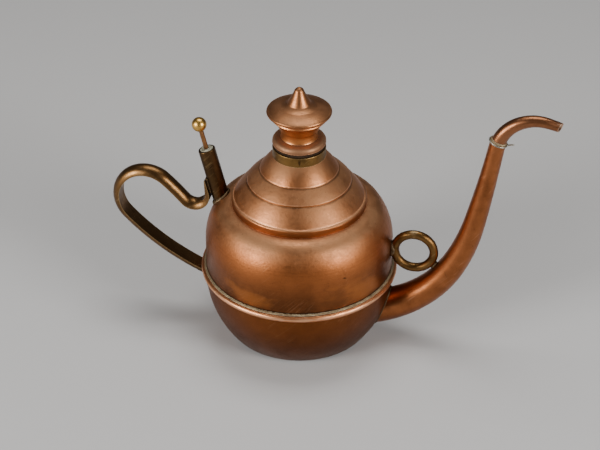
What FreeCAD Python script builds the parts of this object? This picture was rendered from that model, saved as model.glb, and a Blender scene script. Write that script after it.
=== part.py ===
import FreeCAD, Part
import math
import os
import Sketcher

# Copper oil can with a thumb valve, a swan-neck spout and a strap handle.
#
# Frame: millimetres, +Z up. The origin is the centre of the flat base, on the can's own axis.
# The spout lies in the XZ plane towards +X and the handle in the same plane towards -X.

# Driving dimensions: name, value in mm (or degrees, or turns), and what it is.
DIMENSIONS = [
    ("sheet", 0.9, "thickness of the spun copper"),
    ("solder_gap", 0.04, "gap left between soldered pieces"),
    ("base_radius", 35.6, "radius of the foot ring"),
    ("foot_height", 1.3, "height of the foot ring"),
    ("foot_groove", 0.5, "depth of the groove above the foot ring"),
    ("bowl_stand", 0.4, "how far the lower bowl stands outside the upper shell at the seam"),
    ("bowl_curve", 57.0, "radius of the bowl's side in section"),
    ("bowl_rim", 2.8, "height of the bowl's upright rim below the seam"),
    ("seam_height", 39.8, "height of the seam between the two shells"),
    ("bead_radius", 1.7, "radius of the rolled bead"),
    ("bead_stand", 0.6, "how far the bead's centre stands outside the bowl"),
    ("lap", 4.0, "length of the upper shell inside the bowl"),
    ("body_radius", 50.8, "outside radius of the upper shell"),
    ("wall_top", 57.7, "height where the upper shell starts to curve in"),
    ("shoulder_curve", 32.0, "first radius of the shoulder in section"),
    ("step1_radius", 36.2, "radius of the lowest step"),
    ("step1_height", 80.5, "height of the foot of the lowest step"),
    ("step1_rise", 4.4, "rise of the lowest step"),
    ("step1_round", 1.2, "rounding of the lowest step's edge"),
    ("step2_radius", 27.9, "radius of the middle step"),
    ("step2_height", 94.1, "height of the foot of the middle step"),
    ("step2_rise", 0.9, "rise of the middle step"),
    ("step3_radius", 21.0, "radius of the top step"),
    ("step3_height", 101.3, "height of the foot of the top step"),
    ("step3_rise", 0.5, "rise of the top step"),
    ("neck_radius", 14.2, "outside radius of the neck ring"),
    ("neck_height", 110.0, "height of the seat of the neck ring"),
    ("neck_band", 5.4, "height of the neck ring above its seat"),
    ("neck_spigot", 2.6, "length of the neck ring inside the shell"),
    ("thread_radius", 9.4, "outside radius of the cap's thread"),
    ("thread_pitch", 2.0, "pitch of the cap's thread"),
    ("thread_depth", 0.9, "depth of the cap's thread"),
    ("thread_length", 6.0, "length of the cap's thread"),
    ("thread_play", 0.1, "radial play of the cap's thread"),
    ("washer_thick", 2.1, "thickness of the cap's leather washer"),
    ("washer_inset", 0.6, "how far the washer sits inside the neck's edge"),
    ("cap_play", 0.05, "gap between the cap, its washer and the neck"),
    ("skirt_height", 3.2, "height of the cap's skirt"),
    ("skirt_round", 2.4, "rounding of the skirt's top edge"),
    ("waist_radius", 9.6, "radius of the knob's waist"),
    ("knob_radius", 17.15, "radius of the knob's rim"),
    ("knob_rise", 26.0, "height of the knob's rim above the neck ring's seat"),
    ("finial_rise", 14.2, "height of the finial's tip above the knob's rim"),
    ("tube_inset", 7.5, "distance of the valve tube's foot inside the shell's outer radius"),
    ("tube_base_z", 77.2, "height of the valve tube's foot"),
    ("tube_tilt", 13.8, "lean of the valve tube, degrees"),
    ("tube_radius", 4.6, "outside radius of the valve tube"),
    ("tube_wall", 0.8, "wall of the valve tube"),
    ("tube_above", 30.2, "length of the valve tube above its foot"),
    ("tube_below", 9.0, "length of the valve tube inside the can"),
    ("rod_radius", 1.25, "radius of the valve rod"),
    ("rod_play", 0.08, "radial play of the valve rod in its bush"),
    ("ball_height", 45.2, "distance from the tube's foot to the ball's centre"),
    ("ball_radius", 3.95, "radius of the thumb ball"),
    ("valve_travel", 6.0, "travel of the valve rod"),
    ("bush_length", 5.0, "length of the guide bush"),
    ("packing_thick", 1.8, "thickness of the packing in the top of the tube"),
    ("seat_length", 4.0, "length of the valve seat"),
    ("collar_length", 2.4, "length of the spring collar"),
    ("pin_radius", 0.45, "radius of the spring collar's pin"),
    ("pin_play", 0.02, "radial gap round the collar's pin"),
    ("spring_wire", 0.6, "diameter of the spring's wire"),
    ("spring_turns", 8.0, "turns of the spring"),
    ("disc_radius", 3.5, "radius of the valve disc"),
    ("disc_thick", 1.0, "thickness of the valve disc and of its washer"),
    ("nut_thick", 2.0, "thickness of the valve nut"),
    ("nut_flats", 4.5, "size of the valve nut across its flats"),
    ("spout_root_inset", 3.3, "distance of the spout's root inside the bowl's outer radius"),
    ("spout_root_z", 18.6, "height of the spout's root"),
    ("spout_root_rise", 19.9, "slope of the spout at its root, degrees"),
    ("spout_root_radius", 9.2, "outside radius of the spout at its root"),
    ("spout_swell_radius", 7.7, "outside radius of the spout a quarter of the way up"),
    ("spout_middle_radius", 6.4, "outside radius of the spout half way up"),
    ("spout_neck_radius", 5.1, "outside radius of the spout three quarters of the way up"),
    ("spout_end_radius", 4.25, "outside radius of the spout at the joint"),
    ("spout_root_start", 11.0, "length of the spout's form that reaches inside the bowl"),
    ("spout_wall", 0.8, "wall of the spout"),
    ("spout_bend1", 66.6, "radius of the spout's lowest bend"),
    ("spout_turn1", 43.4, "turn of the spout's lowest bend, degrees"),
    ("spout_bend2", 112.0, "radius of the spout's second bend"),
    ("spout_turn2", 14.3, "turn of the spout's second bend, degrees"),
    ("spout_bend3", 745.0, "radius of the spout's long upper run"),
    ("spout_turn3", 3.9, "turn of the spout's long upper run, degrees"),
    ("tip_bend", 20.6, "radius of the tip tube's bend"),
    ("tip_turn", 96.2, "turn of the tip tube's bend, degrees"),
    ("tip_straight", 7.0, "straight end of the tip tube"),
    ("spout_crook", 3.6, "length of the spout past the start of the tip's bend"),
    ("tip_root_radius", 3.95, "outside radius of the tip tube at the joint"),
    ("tip_end_radius", 2.5, "outside radius of the tip tube at its mouth"),
    ("tip_wall", 0.5, "wall of the tip tube"),
    ("tip_slant", 22.0, "slant of the tip tube's mouth towards -Y, degrees"),
    ("ring_radius", 10.6, "radius of the hanging ring's wire circle"),
    ("ring_wire", 2.4, "radius of the hanging ring's wire"),
    ("ring_height", 56.5, "height of the hanging ring's centre"),
    ("ring_bite", 0.6, "depth filed off the ring where it meets the shell"),
    ("bar_width", 9.6, "width of the half-round handle bar"),
    ("bar_thick", 4.4, "thickness of the half-round handle bar"),
    ("bar_edge", 0.6, "thickness of the bar at its edges"),
    ("handle_tip", 13.0, "how far the handle runs up the valve tube from its foot"),
    ("handle_low", 69.5, "height of the bottom of the handle's upper bend"),
    ("crook_bend", 9.0, "radius of the handle's upper bend, beside the tube"),
    ("rise_slope", 49.6, "slope of the handle as it leaves the upper bend, degrees"),
    ("rise_bend", 128.0, "radius of the handle's rising run"),
    ("rise_turn", 6.8, "turn of the handle's rising run, degrees"),
    ("top_bend", 14.3, "radius of the handle's top bend"),
    ("top_turn", 85.5, "turn of the handle's top bend, degrees"),
    ("back_bend", 16.3, "radius of the handle's back bend"),
    ("back_turn", 89.8, "turn of the handle's back bend, degrees"),
    ("under_bend", 129.0, "radius of the handle's long lower run"),
    ("under_turn", 21.8, "turn of the handle's long lower run, degrees"),
    ("foot_bend", 6.0, "radius of the bend at the handle's lower end"),
    ("bar_tip_thick", 0.5, "thickness of the handle bar at its hammered tip"),
    ("bar_hammered", 2.4, "thickness of the bar at the lower end of its hammered stretch"),
    ("foot_strap", 14.5, "length of the handle that lies on the bowl"),
]

document = FreeCAD.newDocument("oil_can")
sheet = document.addObject("Spreadsheet::Sheet", "sizes")
for row, (name, value, note) in enumerate(DIMENSIONS, start=1):
    sheet.set("A%d" % row, name)
    sheet.set("B%d" % row, str(value))
    sheet.set("C%d" % row, note)
    sheet.setAlias("B%d" % row, name)
document.recompute()


class Size:
    """A length or an angle: its number, and the expression over the sheet that gives it."""

    def __init__(self, number, text):
        self.number = number
        self.text = text

    def __add__(self, other):
        other = as_size(other)
        return Size(self.number + other.number, "(%s + %s)" % (self.text, other.text))

    def __radd__(self, other):
        return as_size(other) + self

    def __sub__(self, other):
        other = as_size(other)
        return Size(self.number - other.number, "(%s - %s)" % (self.text, other.text))

    def __rsub__(self, other):
        return as_size(other) - self

    def __mul__(self, other):
        other = as_size(other)
        return Size(self.number * other.number, "(%s * %s)" % (self.text, other.text))

    def __rmul__(self, other):
        return as_size(other) * self

    def __truediv__(self, other):
        other = as_size(other)
        return Size(self.number / other.number, "(%s / %s)" % (self.text, other.text))


def as_size(value):
    """Give a plain number the form of a Size."""
    if isinstance(value, Size):
        return value
    return Size(float(value), "%.6f" % value)


def root(value):
    """Square root of a Size."""
    return Size(math.sqrt(value.number), "sqrt(%s)" % value.text)


def cell(name):
    """The Size held by one cell of the sheet."""
    return Size(float(getattr(sheet, name)), "sizes.%s" % name)


def number(name):
    """The plain number held by one cell of the sheet."""
    return float(getattr(sheet, name))


# ---------------------------------------------------------------- sizes that follow from others


def bowl_radius():
    """Outside radius of the lower bowl at the seam."""
    return cell("body_radius") + cell("bowl_stand")


def bowl_level():
    """Height where the bowl's side is upright."""
    return cell("seam_height") - cell("bowl_rim")


def rim_height():
    """Height of the knob's rim."""
    return cell("neck_height") + cell("knob_rise")


def finial_tip():
    """Height of the finial's tip."""
    return rim_height() + cell("finial_rise")


def tube_base_x():
    """Distance of the valve tube's foot from the can's axis."""
    return cell("body_radius") - cell("tube_inset")


def spout_root_x():
    """Distance of the spout's root from the can's axis."""
    return bowl_radius() - cell("spout_root_inset")


# ---------------------------------------------------------------- sketches and features


class Corner:
    """A corner of an outline. The edge that ends here is straight, or an arc of a radius.

    turn is "left" or "right": the way the arc turns on the way round the outline.
    """

    def __init__(self, across, up, arc=None, turn="left"):
        self.across = as_size(across)
        self.up = as_size(up)
        self.arc = None if arc is None else as_size(arc)
        self.turn = turn

    def point(self):
        return FreeCAD.Vector(self.across.number, self.up.number, 0)


def arc_between(start, end, radius, turn):
    """The shorter arc from start to end, and whether it runs from start to end as stored."""
    chord = end - start
    half = chord.Length / 2.0
    normal = FreeCAD.Vector(-chord.y, chord.x, 0).normalize()
    side = 1.0 if turn == "left" else -1.0
    height = math.sqrt(max(radius * radius - half * half, 0.0))
    centre = (start + end) * 0.5 + normal * (side * height)
    from_angle = math.atan2(start.y - centre.y, start.x - centre.x)
    to_angle = math.atan2(end.y - centre.y, end.x - centre.x)
    forward = turn == "left"
    if not forward:
        from_angle, to_angle = to_angle, from_angle
    if to_angle < from_angle:
        to_angle += 2 * math.pi
    circle = Part.Circle(centre, FreeCAD.Vector(0, 0, 1), radius)
    return Part.ArcOfCircle(circle, from_angle, to_angle), forward


def origin_plane(body, role):
    """One of a body's own origin planes."""
    for feature in body.Origin.OriginFeatures:
        if feature.Role == role:
            return feature
    raise ValueError(role)


def new_sketch(body, name, role, offset=None):
    """A sketch of a body on one of its origin planes."""
    sketch = body.newObject("Sketcher::SketchObject", name)
    sketch.AttachmentSupport = [(origin_plane(body, role), "")]
    sketch.MapMode = "FlatFace"
    if offset is not None:
        sketch.AttachmentOffset = offset
    return sketch


def hold_point(sketch, geometry, end, across, up):
    """Tie one end of a sketch edge to its place, by the sheet's values."""
    if abs(across.number) < 1e-9 and abs(up.number) < 1e-9:
        sketch.addConstraint(Sketcher.Constraint("Coincident", geometry, end, -1, 1))
        return
    for kind, axis, size in (("DistanceX", -2, across), ("DistanceY", -1, up)):
        if abs(size.number) < 1e-9:
            sketch.addConstraint(Sketcher.Constraint("PointOnObject", geometry, end, axis))
            continue
        held = sketch.addConstraint(
            Sketcher.Constraint(kind, -1, 1, geometry, end, size.number))
        sketch.setExpression("Constraints[%d]" % held, size.text)


def draw_outline(sketch, corners):
    """Draw a closed outline through its corners and tie it to the sheet."""
    edges = []
    for index, corner in enumerate(corners):
        before = corners[index - 1]
        if corner.arc is None:
            geometry = sketch.addGeometry(Part.LineSegment(before.point(), corner.point()))
            edges.append((geometry, 1, 2))
            continue
        arc, forward = arc_between(before.point(), corner.point(), corner.arc.number, corner.turn)
        geometry = sketch.addGeometry(arc)
        edges.append((geometry, 1, 2) if forward else (geometry, 2, 1))
        held = sketch.addConstraint(Sketcher.Constraint("Radius", geometry, corner.arc.number))
        sketch.setExpression("Constraints[%d]" % held, corner.arc.text)
    for index, (geometry, _, end) in enumerate(edges):
        following, start, _ = edges[(index + 1) % len(edges)]
        sketch.addConstraint(Sketcher.Constraint("Coincident", geometry, end, following, start))
        hold_point(sketch, geometry, end, corners[index].across, corners[index].up)


def draw_circle(sketch, across, up, radius):
    """Draw a circle and tie it to the sheet."""
    across = as_size(across)
    up = as_size(up)
    radius = as_size(radius)
    centre = FreeCAD.Vector(across.number, up.number, 0)
    geometry = sketch.addGeometry(Part.Circle(centre, FreeCAD.Vector(0, 0, 1), radius.number))
    held = sketch.addConstraint(Sketcher.Constraint("Radius", geometry, radius.number))
    sketch.setExpression("Constraints[%d]" % held, radius.text)
    hold_point(sketch, geometry, 3, across, up)


def turned(label, corners, place=None):
    """A body turned about its own Z axis from an outline in its XZ plane."""
    body = document.addObject("PartDesign::Body", label)
    sketch = new_sketch(body, label + "_profile", "XZ_Plane")
    draw_outline(sketch, corners)
    spin = body.newObject("PartDesign::Revolution", label + "_turned")
    spin.Profile = sketch
    spin.ReferenceAxis = (sketch, ["V_Axis"])
    spin.Angle = 360
    body.Tip = spin
    if place is not None:
        body.Placement = place
    return body


def cut(label, base, *tools):
    """A body with other bodies cut out of it."""
    result = base
    for index, tool in enumerate(tools, start=1):
        last = index == len(tools)
        result_name = label if last else "%s_cut_%d" % (label, index)
        step = document.addObject("Part::Cut", result_name)
        step.Base = result
        step.Tool = tool
        result = step
    return result


def fused(label, *shapes):
    """Several bodies joined into one."""
    joined = document.addObject("Part::MultiFuse", label)
    joined.Shapes = list(shapes)
    return joined


def cylinder(label, radius, length, place):
    """A cylinder whose sizes come from the sheet."""
    solid = document.addObject("Part::Cylinder", label)
    solid.setExpression("Radius", as_size(radius).text)
    solid.setExpression("Height", as_size(length).text)
    solid.Placement = place
    return solid


def torus(label, radius, wire, place):
    """A torus whose sizes come from the sheet."""
    solid = document.addObject("Part::Torus", label)
    solid.setExpression("Radius1", as_size(radius).text)
    solid.setExpression("Radius2", as_size(wire).text)
    solid.Placement = place
    return solid


def ellipsoid(label, along, across, place):
    """An ellipsoid of revolution about its own Z axis."""
    solid = document.addObject("Part::Ellipsoid", label)
    solid.setExpression("Radius1", as_size(along).text)
    solid.setExpression("Radius2", as_size(across).text)
    solid.setExpression("Radius3", as_size(across).text)
    solid.Placement = place
    return solid


def upright_in(point, direction):
    """A placement at a point, with its own Z along a direction of the XZ plane."""
    turn = FreeCAD.Rotation(FreeCAD.Vector(0, 0, 1), direction)
    return FreeCAD.Placement(point, turn)


# ---------------------------------------------------------------- the copper shells


def bowl_side(level, inset=0.0):
    """Radius of the bowl's side at a height below its upright level, inset by a wall."""
    curve = cell("bowl_curve") - inset
    drop = bowl_level() - level
    centre = bowl_radius() - cell("bowl_curve")
    return centre + root(curve * curve - drop * drop)


def bowl_outside():
    """Corners of the bowl's outside, from the base's axis up to the seam."""
    foot_top = cell("foot_height")
    groove = cell("base_radius") - cell("foot_groove")
    shoulder = foot_top + 2.0 * cell("foot_groove")
    edge = 0.4
    return [
        Corner(0, 0),
        Corner(cell("base_radius") - edge, 0),
        Corner(cell("base_radius"), edge, arc=edge, turn="left"),
        Corner(cell("base_radius"), foot_top - edge),
        Corner(groove, foot_top),
        Corner(bowl_side(shoulder), shoulder),
        Corner(bowl_radius(), bowl_level(), arc=cell("bowl_curve"), turn="left"),
        Corner(bowl_radius(), cell("seam_height")),
    ]


def lower_bowl():
    """Spun bowl with a flat base on a small foot ring, pierced for the spout."""
    wall = cell("sheet")
    inner_radius = bowl_radius() - wall
    floor_curve = 3.0
    floor_edge = bowl_side(wall + floor_curve, wall)
    corners = bowl_outside() + [
        Corner(inner_radius, cell("seam_height")),
        Corner(inner_radius, bowl_level()),
        Corner(floor_edge, wall + floor_curve, arc=cell("bowl_curve") - wall, turn="right"),
        Corner(cell("base_radius") - 3.5, wall),
        Corner(0, wall),
    ]
    spun = turned("lower_bowl_spun", corners)
    start = spout_point(0.0)
    way = FreeCAD.Vector(math.cos(start[2]), 0, math.sin(start[2]))
    hole_length = 24.0
    origin = FreeCAD.Vector(start[0], 0, start[1]) - way * (hole_length / 2)
    hole = cylinder("spout_hole", cell("spout_root_radius") - cell("spout_wall"), hole_length,
                    upright_in(origin, way))
    return cut("lower_bowl", spun, hole)


def shoulder_join():
    """Where the shoulder's two arcs meet, and the second arc's radius."""
    width = cell("body_radius") - cell("step1_radius")
    height = cell("step1_height") - cell("wall_top")
    first = cell("shoulder_curve")
    second = (width * width + height * height - 2.0 * width * first) / (2.0 * (height - first))
    across = width - first
    climb = height - second
    reach = root(across * across + climb * climb)
    join_across = cell("body_radius") - first - across / reach * first
    join_up = cell("wall_top") + climb / reach * first
    return join_across, join_up, second


def shell_outside():
    """Corners of the upper shell's outside, from the seam up to the neck's seat."""
    join_across, join_up, second = shoulder_join()
    edge = cell("step1_round")
    step1_top = cell("step1_height") + cell("step1_rise")
    inner_edge = cell("step1_radius") - edge
    return [
        Corner(cell("body_radius"), cell("seam_height")),
        Corner(cell("body_radius"), cell("wall_top")),
        Corner(join_across, join_up, arc=cell("shoulder_curve"), turn="left"),
        Corner(cell("step1_radius"), cell("step1_height"), arc=second, turn="left"),
        Corner(cell("step1_radius"), step1_top - edge),
        Corner(inner_edge, step1_top, arc=edge, turn="left"),
        Corner(cell("step2_radius"), cell("step2_height"), arc=60.0, turn="left"),
        Corner(cell("step2_radius") - 0.25, cell("step2_height") + cell("step2_rise")),
        Corner(cell("step3_radius"), cell("step3_height"), arc=40.0, turn="left"),
        Corner(cell("step3_radius") - 0.2, cell("step3_height") + cell("step3_rise")),
        Corner(cell("neck_radius"), cell("neck_height"), arc=40.0, turn="left"),
    ]


def shell_inside():
    """Corners of the upper shell's inside, from the neck's seat down to the lap."""
    wall = cell("sheet")
    join_across, join_up, second = shoulder_join()
    reach = cell("shoulder_curve")
    centre_across = cell("body_radius") - reach
    centre_up = cell("wall_top")
    share = (reach - wall) / reach
    inner_join_across = centre_across + (join_across - centre_across) * share
    inner_join_up = centre_up + (join_up - centre_up) * share
    lap_outer = bowl_radius() - wall - cell("solder_gap")
    throat = cell("thread_radius") + cell("thread_play") + 1.5 + cell("solder_gap")
    return [
        Corner(throat, cell("neck_height")),
        Corner(throat, cell("neck_height") - wall),
        Corner(cell("neck_radius") - 0.9, cell("neck_height") - wall),
        Corner(cell("step3_radius") - 1.3, cell("step3_height") - 0.6),
        Corner(cell("step2_radius") - 1.2, cell("step2_height") - 0.5),
        Corner(cell("step1_radius") - cell("step1_round") - 0.9,
               cell("step1_height") + cell("step1_rise") - 1.2),
        Corner(cell("step1_radius") - wall, cell("step1_height") + 1.6),
        Corner(cell("step1_radius") - wall, cell("step1_height") - wall),
        Corner(cell("step1_radius"), cell("step1_height") - wall),
        Corner(inner_join_across, inner_join_up, arc=second - wall, turn="right"),
        Corner(cell("body_radius") - wall, cell("wall_top"), arc=reach - wall, turn="right"),
        Corner(cell("body_radius") - wall, cell("seam_height") + 1.5),
        Corner(lap_outer - wall, cell("seam_height") + 0.5),
        Corner(lap_outer - wall, cell("seam_height") - cell("lap")),
        Corner(lap_outer, cell("seam_height") - cell("lap")),
        Corner(lap_outer, cell("seam_height")),
    ]


def upper_body():
    """Spun upper shell with three steps, a lap into the bowl, and a hole for the valve tube."""
    spun = turned("upper_body_spun", shell_outside() + shell_inside())
    hole = cylinder("valve_hole", cell("tube_radius") + cell("solder_gap"),
                    cell("tube_below") + 24.0, valve_place(-number("tube_below") - 1.0))
    return cut("upper_body", spun, hole)


def envelope():
    """The can's outside as one filled body, used to fit what is soldered to it."""
    corners = bowl_outside() + shell_outside() + [Corner(0, cell("neck_height"))]
    return turned("can_envelope", corners)


def seam_bead():
    """Rolled copper bead round the seam."""
    centre = bowl_radius() + cell("bead_stand")
    gap = cell("solder_gap")
    radius = cell("bead_radius")
    low_across = bowl_radius() + gap
    high_across = cell("body_radius") + gap
    low_drop = root(radius * radius - (centre - low_across) * (centre - low_across))
    high_rise = root(radius * radius - (centre - high_across) * (centre - high_across))
    seam = cell("seam_height")
    return turned("seam_bead", [
        Corner(high_across, seam + gap),
        Corner(low_across, seam + gap),
        Corner(low_across, seam - low_drop),
        Corner(centre, seam - radius, arc=radius, turn="left"),
        Corner(centre + radius, seam, arc=radius, turn="left"),
        Corner(centre, seam + radius, arc=radius, turn="left"),
        Corner(high_across, seam + high_rise, arc=radius, turn="left"),
    ])


def seam_solder():
    """Fillet of solder in the corner above the bead."""
    centre = bowl_radius() + cell("bead_stand")
    gap = cell("solder_gap")
    radius = cell("bead_radius") + gap
    wall = cell("body_radius") + gap
    rise = root(radius * radius - (centre - wall) * (centre - wall))
    lip = root(radius * radius - 0.3 * 0.3)
    seam = cell("seam_height")
    return turned("seam_solder", [
        Corner(wall, seam + rise),
        Corner(centre + 0.3, seam + lip, arc=radius, turn="right"),
        Corner(centre + 0.25, seam + lip + 0.2),
        Corner(wall, seam + cell("bead_radius") + 1.3),
    ])


# ---------------------------------------------------------------- neck and cap


def cap_level():
    """Height of the cap's underside when it is screwed down."""
    return cell("neck_height") + cell("neck_band") + cell("washer_thick") + 2.0 * cell("cap_play")


def neck_ring():
    """Brass ring soldered in the shell's throat, bored for the cap's thread."""
    bore = cell("thread_radius") + cell("thread_play")
    seat = cell("neck_height") + cell("solder_gap")
    top = cell("neck_height") + cell("neck_band")
    low = cell("neck_height") - cell("neck_spigot")
    edge = 0.35
    return turned("neck_ring", [
        Corner(bore, low),
        Corner(bore + 1.5, low),
        Corner(bore + 1.5, seat),
        Corner(cell("neck_radius"), seat),
        Corner(cell("neck_radius"), top - edge),
        Corner(cell("neck_radius") - edge, top, arc=edge, turn="left"),
        Corner(bore + edge, top),
        Corner(bore, top - edge),
    ])


def cap_washer():
    """Leather washer between the neck ring and the cap."""
    low = cell("neck_height") + cell("neck_band") + cell("cap_play")
    high = low + cell("washer_thick")
    inner = cell("thread_radius") + 0.3
    outer = cell("neck_radius") - cell("washer_inset")
    round_edge = 0.5
    return turned("cap_washer", [
        Corner(inner, low),
        Corner(outer - round_edge, low),
        Corner(outer, low + round_edge, arc=round_edge, turn="left"),
        Corner(outer, high - round_edge),
        Corner(outer - round_edge, high, arc=round_edge, turn="left"),
        Corner(inner, high),
    ])


def cap_plug():
    """Hollow brass plug with the cap's thread, as ridges with the thread's pitch."""
    top = cap_level() + 0.6
    crest = cell("thread_radius")
    valley = crest - cell("thread_depth")
    inner = valley - 1.2
    ridge_top = cell("neck_height") + cell("neck_band") - 0.6
    pitch = cell("thread_pitch")
    low = ridge_top - cell("thread_length")
    corners = [Corner(inner, top), Corner(inner, low), Corner(valley, low)]
    for turn_index in range(int(round(number("thread_length") / number("thread_pitch")))):
        start = low + pitch * float(turn_index)
        corners.append(Corner(valley, start + 0.25 * pitch))
        corners.append(Corner(crest, start + 0.5 * pitch))
        corners.append(Corner(crest, start + 0.6 * pitch))
        corners.append(Corner(valley, start + 0.85 * pitch))
    corners.append(Corner(valley, top))
    return turned("cap_plug", corners)


def cap_skirt():
    """Spun copper skirt of the cap, with a rounded top edge."""
    low = cap_level()
    edge = cell("skirt_round")
    high = low + cell("skirt_height")
    hole = cell("thread_radius") - cell("thread_depth") + cell("solder_gap")
    radius = cell("neck_radius")
    wall = cell("sheet")
    return turned("cap_skirt", [
        Corner(hole, low),
        Corner(radius, low),
        Corner(radius, high - edge),
        Corner(radius - edge, high, arc=edge, turn="left"),
        Corner(cell("waist_radius") - 1.0, high + 0.25),
        Corner(cell("waist_radius") - 1.0, high + 0.25 - wall),
        Corner(hole, low + 0.7),
    ])


def cap_knob_lower():
    """Spun copper waist and flared underside of the knob."""
    wall = cell("sheet")
    base = cap_level() + cell("skirt_height") + 0.25 + cell("solder_gap")
    waist = cell("waist_radius")
    rim = cell("knob_radius")
    rim_level = rim_height()
    return turned("cap_knob_lower", [
        Corner(waist - wall, base),
        Corner(waist + 0.3, base),
        Corner(waist, base + 1.9, arc=4.0, turn="right"),
        Corner(waist + 1.1, base + 5.6, arc=6.5, turn="right"),
        Corner(rim - 2.9, rim_level - 3.9, arc=13.5, turn="right"),
        Corner(rim - 2.3, rim_level - 3.2),
        Corner(rim - 2.5, rim_level - 2.6),
        Corner(rim - 1.2, rim_level - 1.5),
        Corner(rim - 1.6, rim_level - 1.15),
        Corner(rim - 2.6, rim_level - 1.15),
        Corner(rim - 3.9, rim_level - 3.6),
        Corner(waist + 0.3, base + 5.8),
        Corner(waist - wall, base + 2.4),
    ])


def cap_knob_top():
    """Spun copper top of the knob: rolled rim, low dome and pointed finial."""
    wall = cell("sheet")
    rim = cell("knob_radius")
    level = rim_height()
    tip = finial_tip()
    roll = 1.05
    seat = level - 1.1
    return turned("cap_knob_top", [
        Corner(0, tip),
        Corner(0, tip - 2.2),
        Corner(2.6, tip - 5.4),
        Corner(4.6, level + 4.3),
        Corner(7.9, level + 2.1),
        Corner(rim - 2.4, level - 0.2, arc=26.0, turn="right"),
        Corner(rim - 2.4, seat),
        Corner(rim - roll, seat),
        Corner(rim, level - 0.05, arc=roll, turn="left"),
        Corner(rim - roll, level + 1.0, arc=roll, turn="left"),
        Corner(9.5, level + 3.0, arc=26.0, turn="left"),
        Corner(6.2, level + 4.9, arc=8.0, turn="right"),
        Corner(4.6, tip - 6.3, arc=30.0, turn="right"),
        Corner(2.7, tip - 2.3, arc=40.0, turn="right"),
        Corner(1.3, tip - 0.5, arc=3.0, turn="left"),
        Corner(0.5, tip - 0.05, arc=1.6, turn="left"),
    ])


# ---------------------------------------------------------------- the thumb valve


def valve_axis():
    """Unit vector up the valve tube, which leans away from the can."""
    lean = math.radians(number("tube_tilt"))
    return FreeCAD.Vector(-math.sin(lean), 0, math.cos(lean))


def valve_place(along=0.0):
    """The valve tube's frame, or a place further up its axis."""
    foot = FreeCAD.Vector(-tube_base_x().number, 0, number("tube_base_z"))
    return upright_in(foot + valve_axis() * along, valve_axis())


def valve_tube():
    """Brass tube that guides the valve rod, turned in slightly at its mouth."""
    outer = cell("tube_radius")
    inner = outer - cell("tube_wall")
    top = cell("tube_above")
    low = 0.0 - cell("tube_below")
    lip = 0.5
    return turned("valve_tube", [
        Corner(inner, low),
        Corner(outer, low),
        Corner(outer, top - lip),
        Corner(outer - lip, top, arc=lip, turn="left"),
        Corner(inner - 0.25, top),
        Corner(inner - 0.25, top - 0.5),
        Corner(inner, top - 0.8),
    ], valve_place())


def gland_packing():
    """Ring of packing held under the tube's turned-in mouth and standing a little out of it."""
    outer = cell("tube_radius") - cell("tube_wall") - cell("solder_gap")
    mouth = outer - 0.3
    proud = cell("tube_above") + 0.5
    high = cell("tube_above") - 0.85
    hole = cell("rod_radius") + cell("rod_play")
    return turned("gland_packing", [
        Corner(hole, high - cell("packing_thick")),
        Corner(outer, high - cell("packing_thick")),
        Corner(outer, high - 0.1),
        Corner(mouth, high),
        Corner(mouth, proud - 0.4),
        Corner(hole + 0.6, proud),
        Corner(hole, proud - 0.2),
    ], valve_place())


def bush_top():
    """Distance up the tube to the top of the guide bush."""
    return cell("tube_above") - 0.85 - cell("packing_thick") - cell("cap_play")


def guide_bush():
    """Brass bush under the packing, where the rod slides."""
    outer = cell("tube_radius") - cell("tube_wall") - cell("solder_gap")
    hole = cell("rod_radius") + cell("rod_play")
    high = bush_top()
    return turned("guide_bush", [
        Corner(hole, high - cell("bush_length")),
        Corner(outer, high - cell("bush_length")),
        Corner(outer, high),
        Corner(hole, high),
    ], valve_place())


def valve_seat():
    """Brass seat in the foot of the tube; the spring stands on it and the washer closes it."""
    outer = cell("tube_radius") - cell("tube_wall") - cell("solder_gap")
    hole = cell("rod_radius") + 0.8
    low = 0.0 - cell("tube_below")
    return turned("valve_seat", [
        Corner(hole, low),
        Corner(outer, low),
        Corner(outer, low + cell("seat_length")),
        Corner(hole, low + cell("seat_length")),
    ], valve_place())


def collar_low():
    """Distance up the tube to the underside of the spring collar, with the valve closed."""
    return bush_top() - cell("bush_length") - 1.2 - cell("collar_length")


def spring_collar():
    """Brass collar pinned to the rod, which the spring lifts."""
    low = collar_low()
    inner = cell("rod_radius") + 0.02
    outer = cell("tube_radius") - cell("tube_wall") - 0.3
    body = turned("spring_collar_turned", [
        Corner(inner, low),
        Corner(outer, low),
        Corner(outer, low + cell("collar_length")),
        Corner(inner, low + cell("collar_length")),
    ], valve_place())
    return cut("spring_collar", body, collar_pin_rod("collar_pin_hole", cell("pin_play")))


def collar_pin_rod(label, play):
    """A cross pin's body through the collar and the rod, along Y."""
    middle = collar_low() + cell("collar_length") / 2.0
    length = 2.0 * (cell("tube_radius") - cell("tube_wall") - 0.35)
    point = valve_place(middle.number).Base
    start = FreeCAD.Vector(point.x, -length.number / 2.0, point.z)
    return cylinder(label, cell("pin_radius") + play, length,
                    upright_in(start, FreeCAD.Vector(0, 1, 0)))


def valve_low():
    """Distance up the tube to the face that the valve washer closes on."""
    return 0.0 - cell("tube_below") - cell("cap_play")


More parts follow.
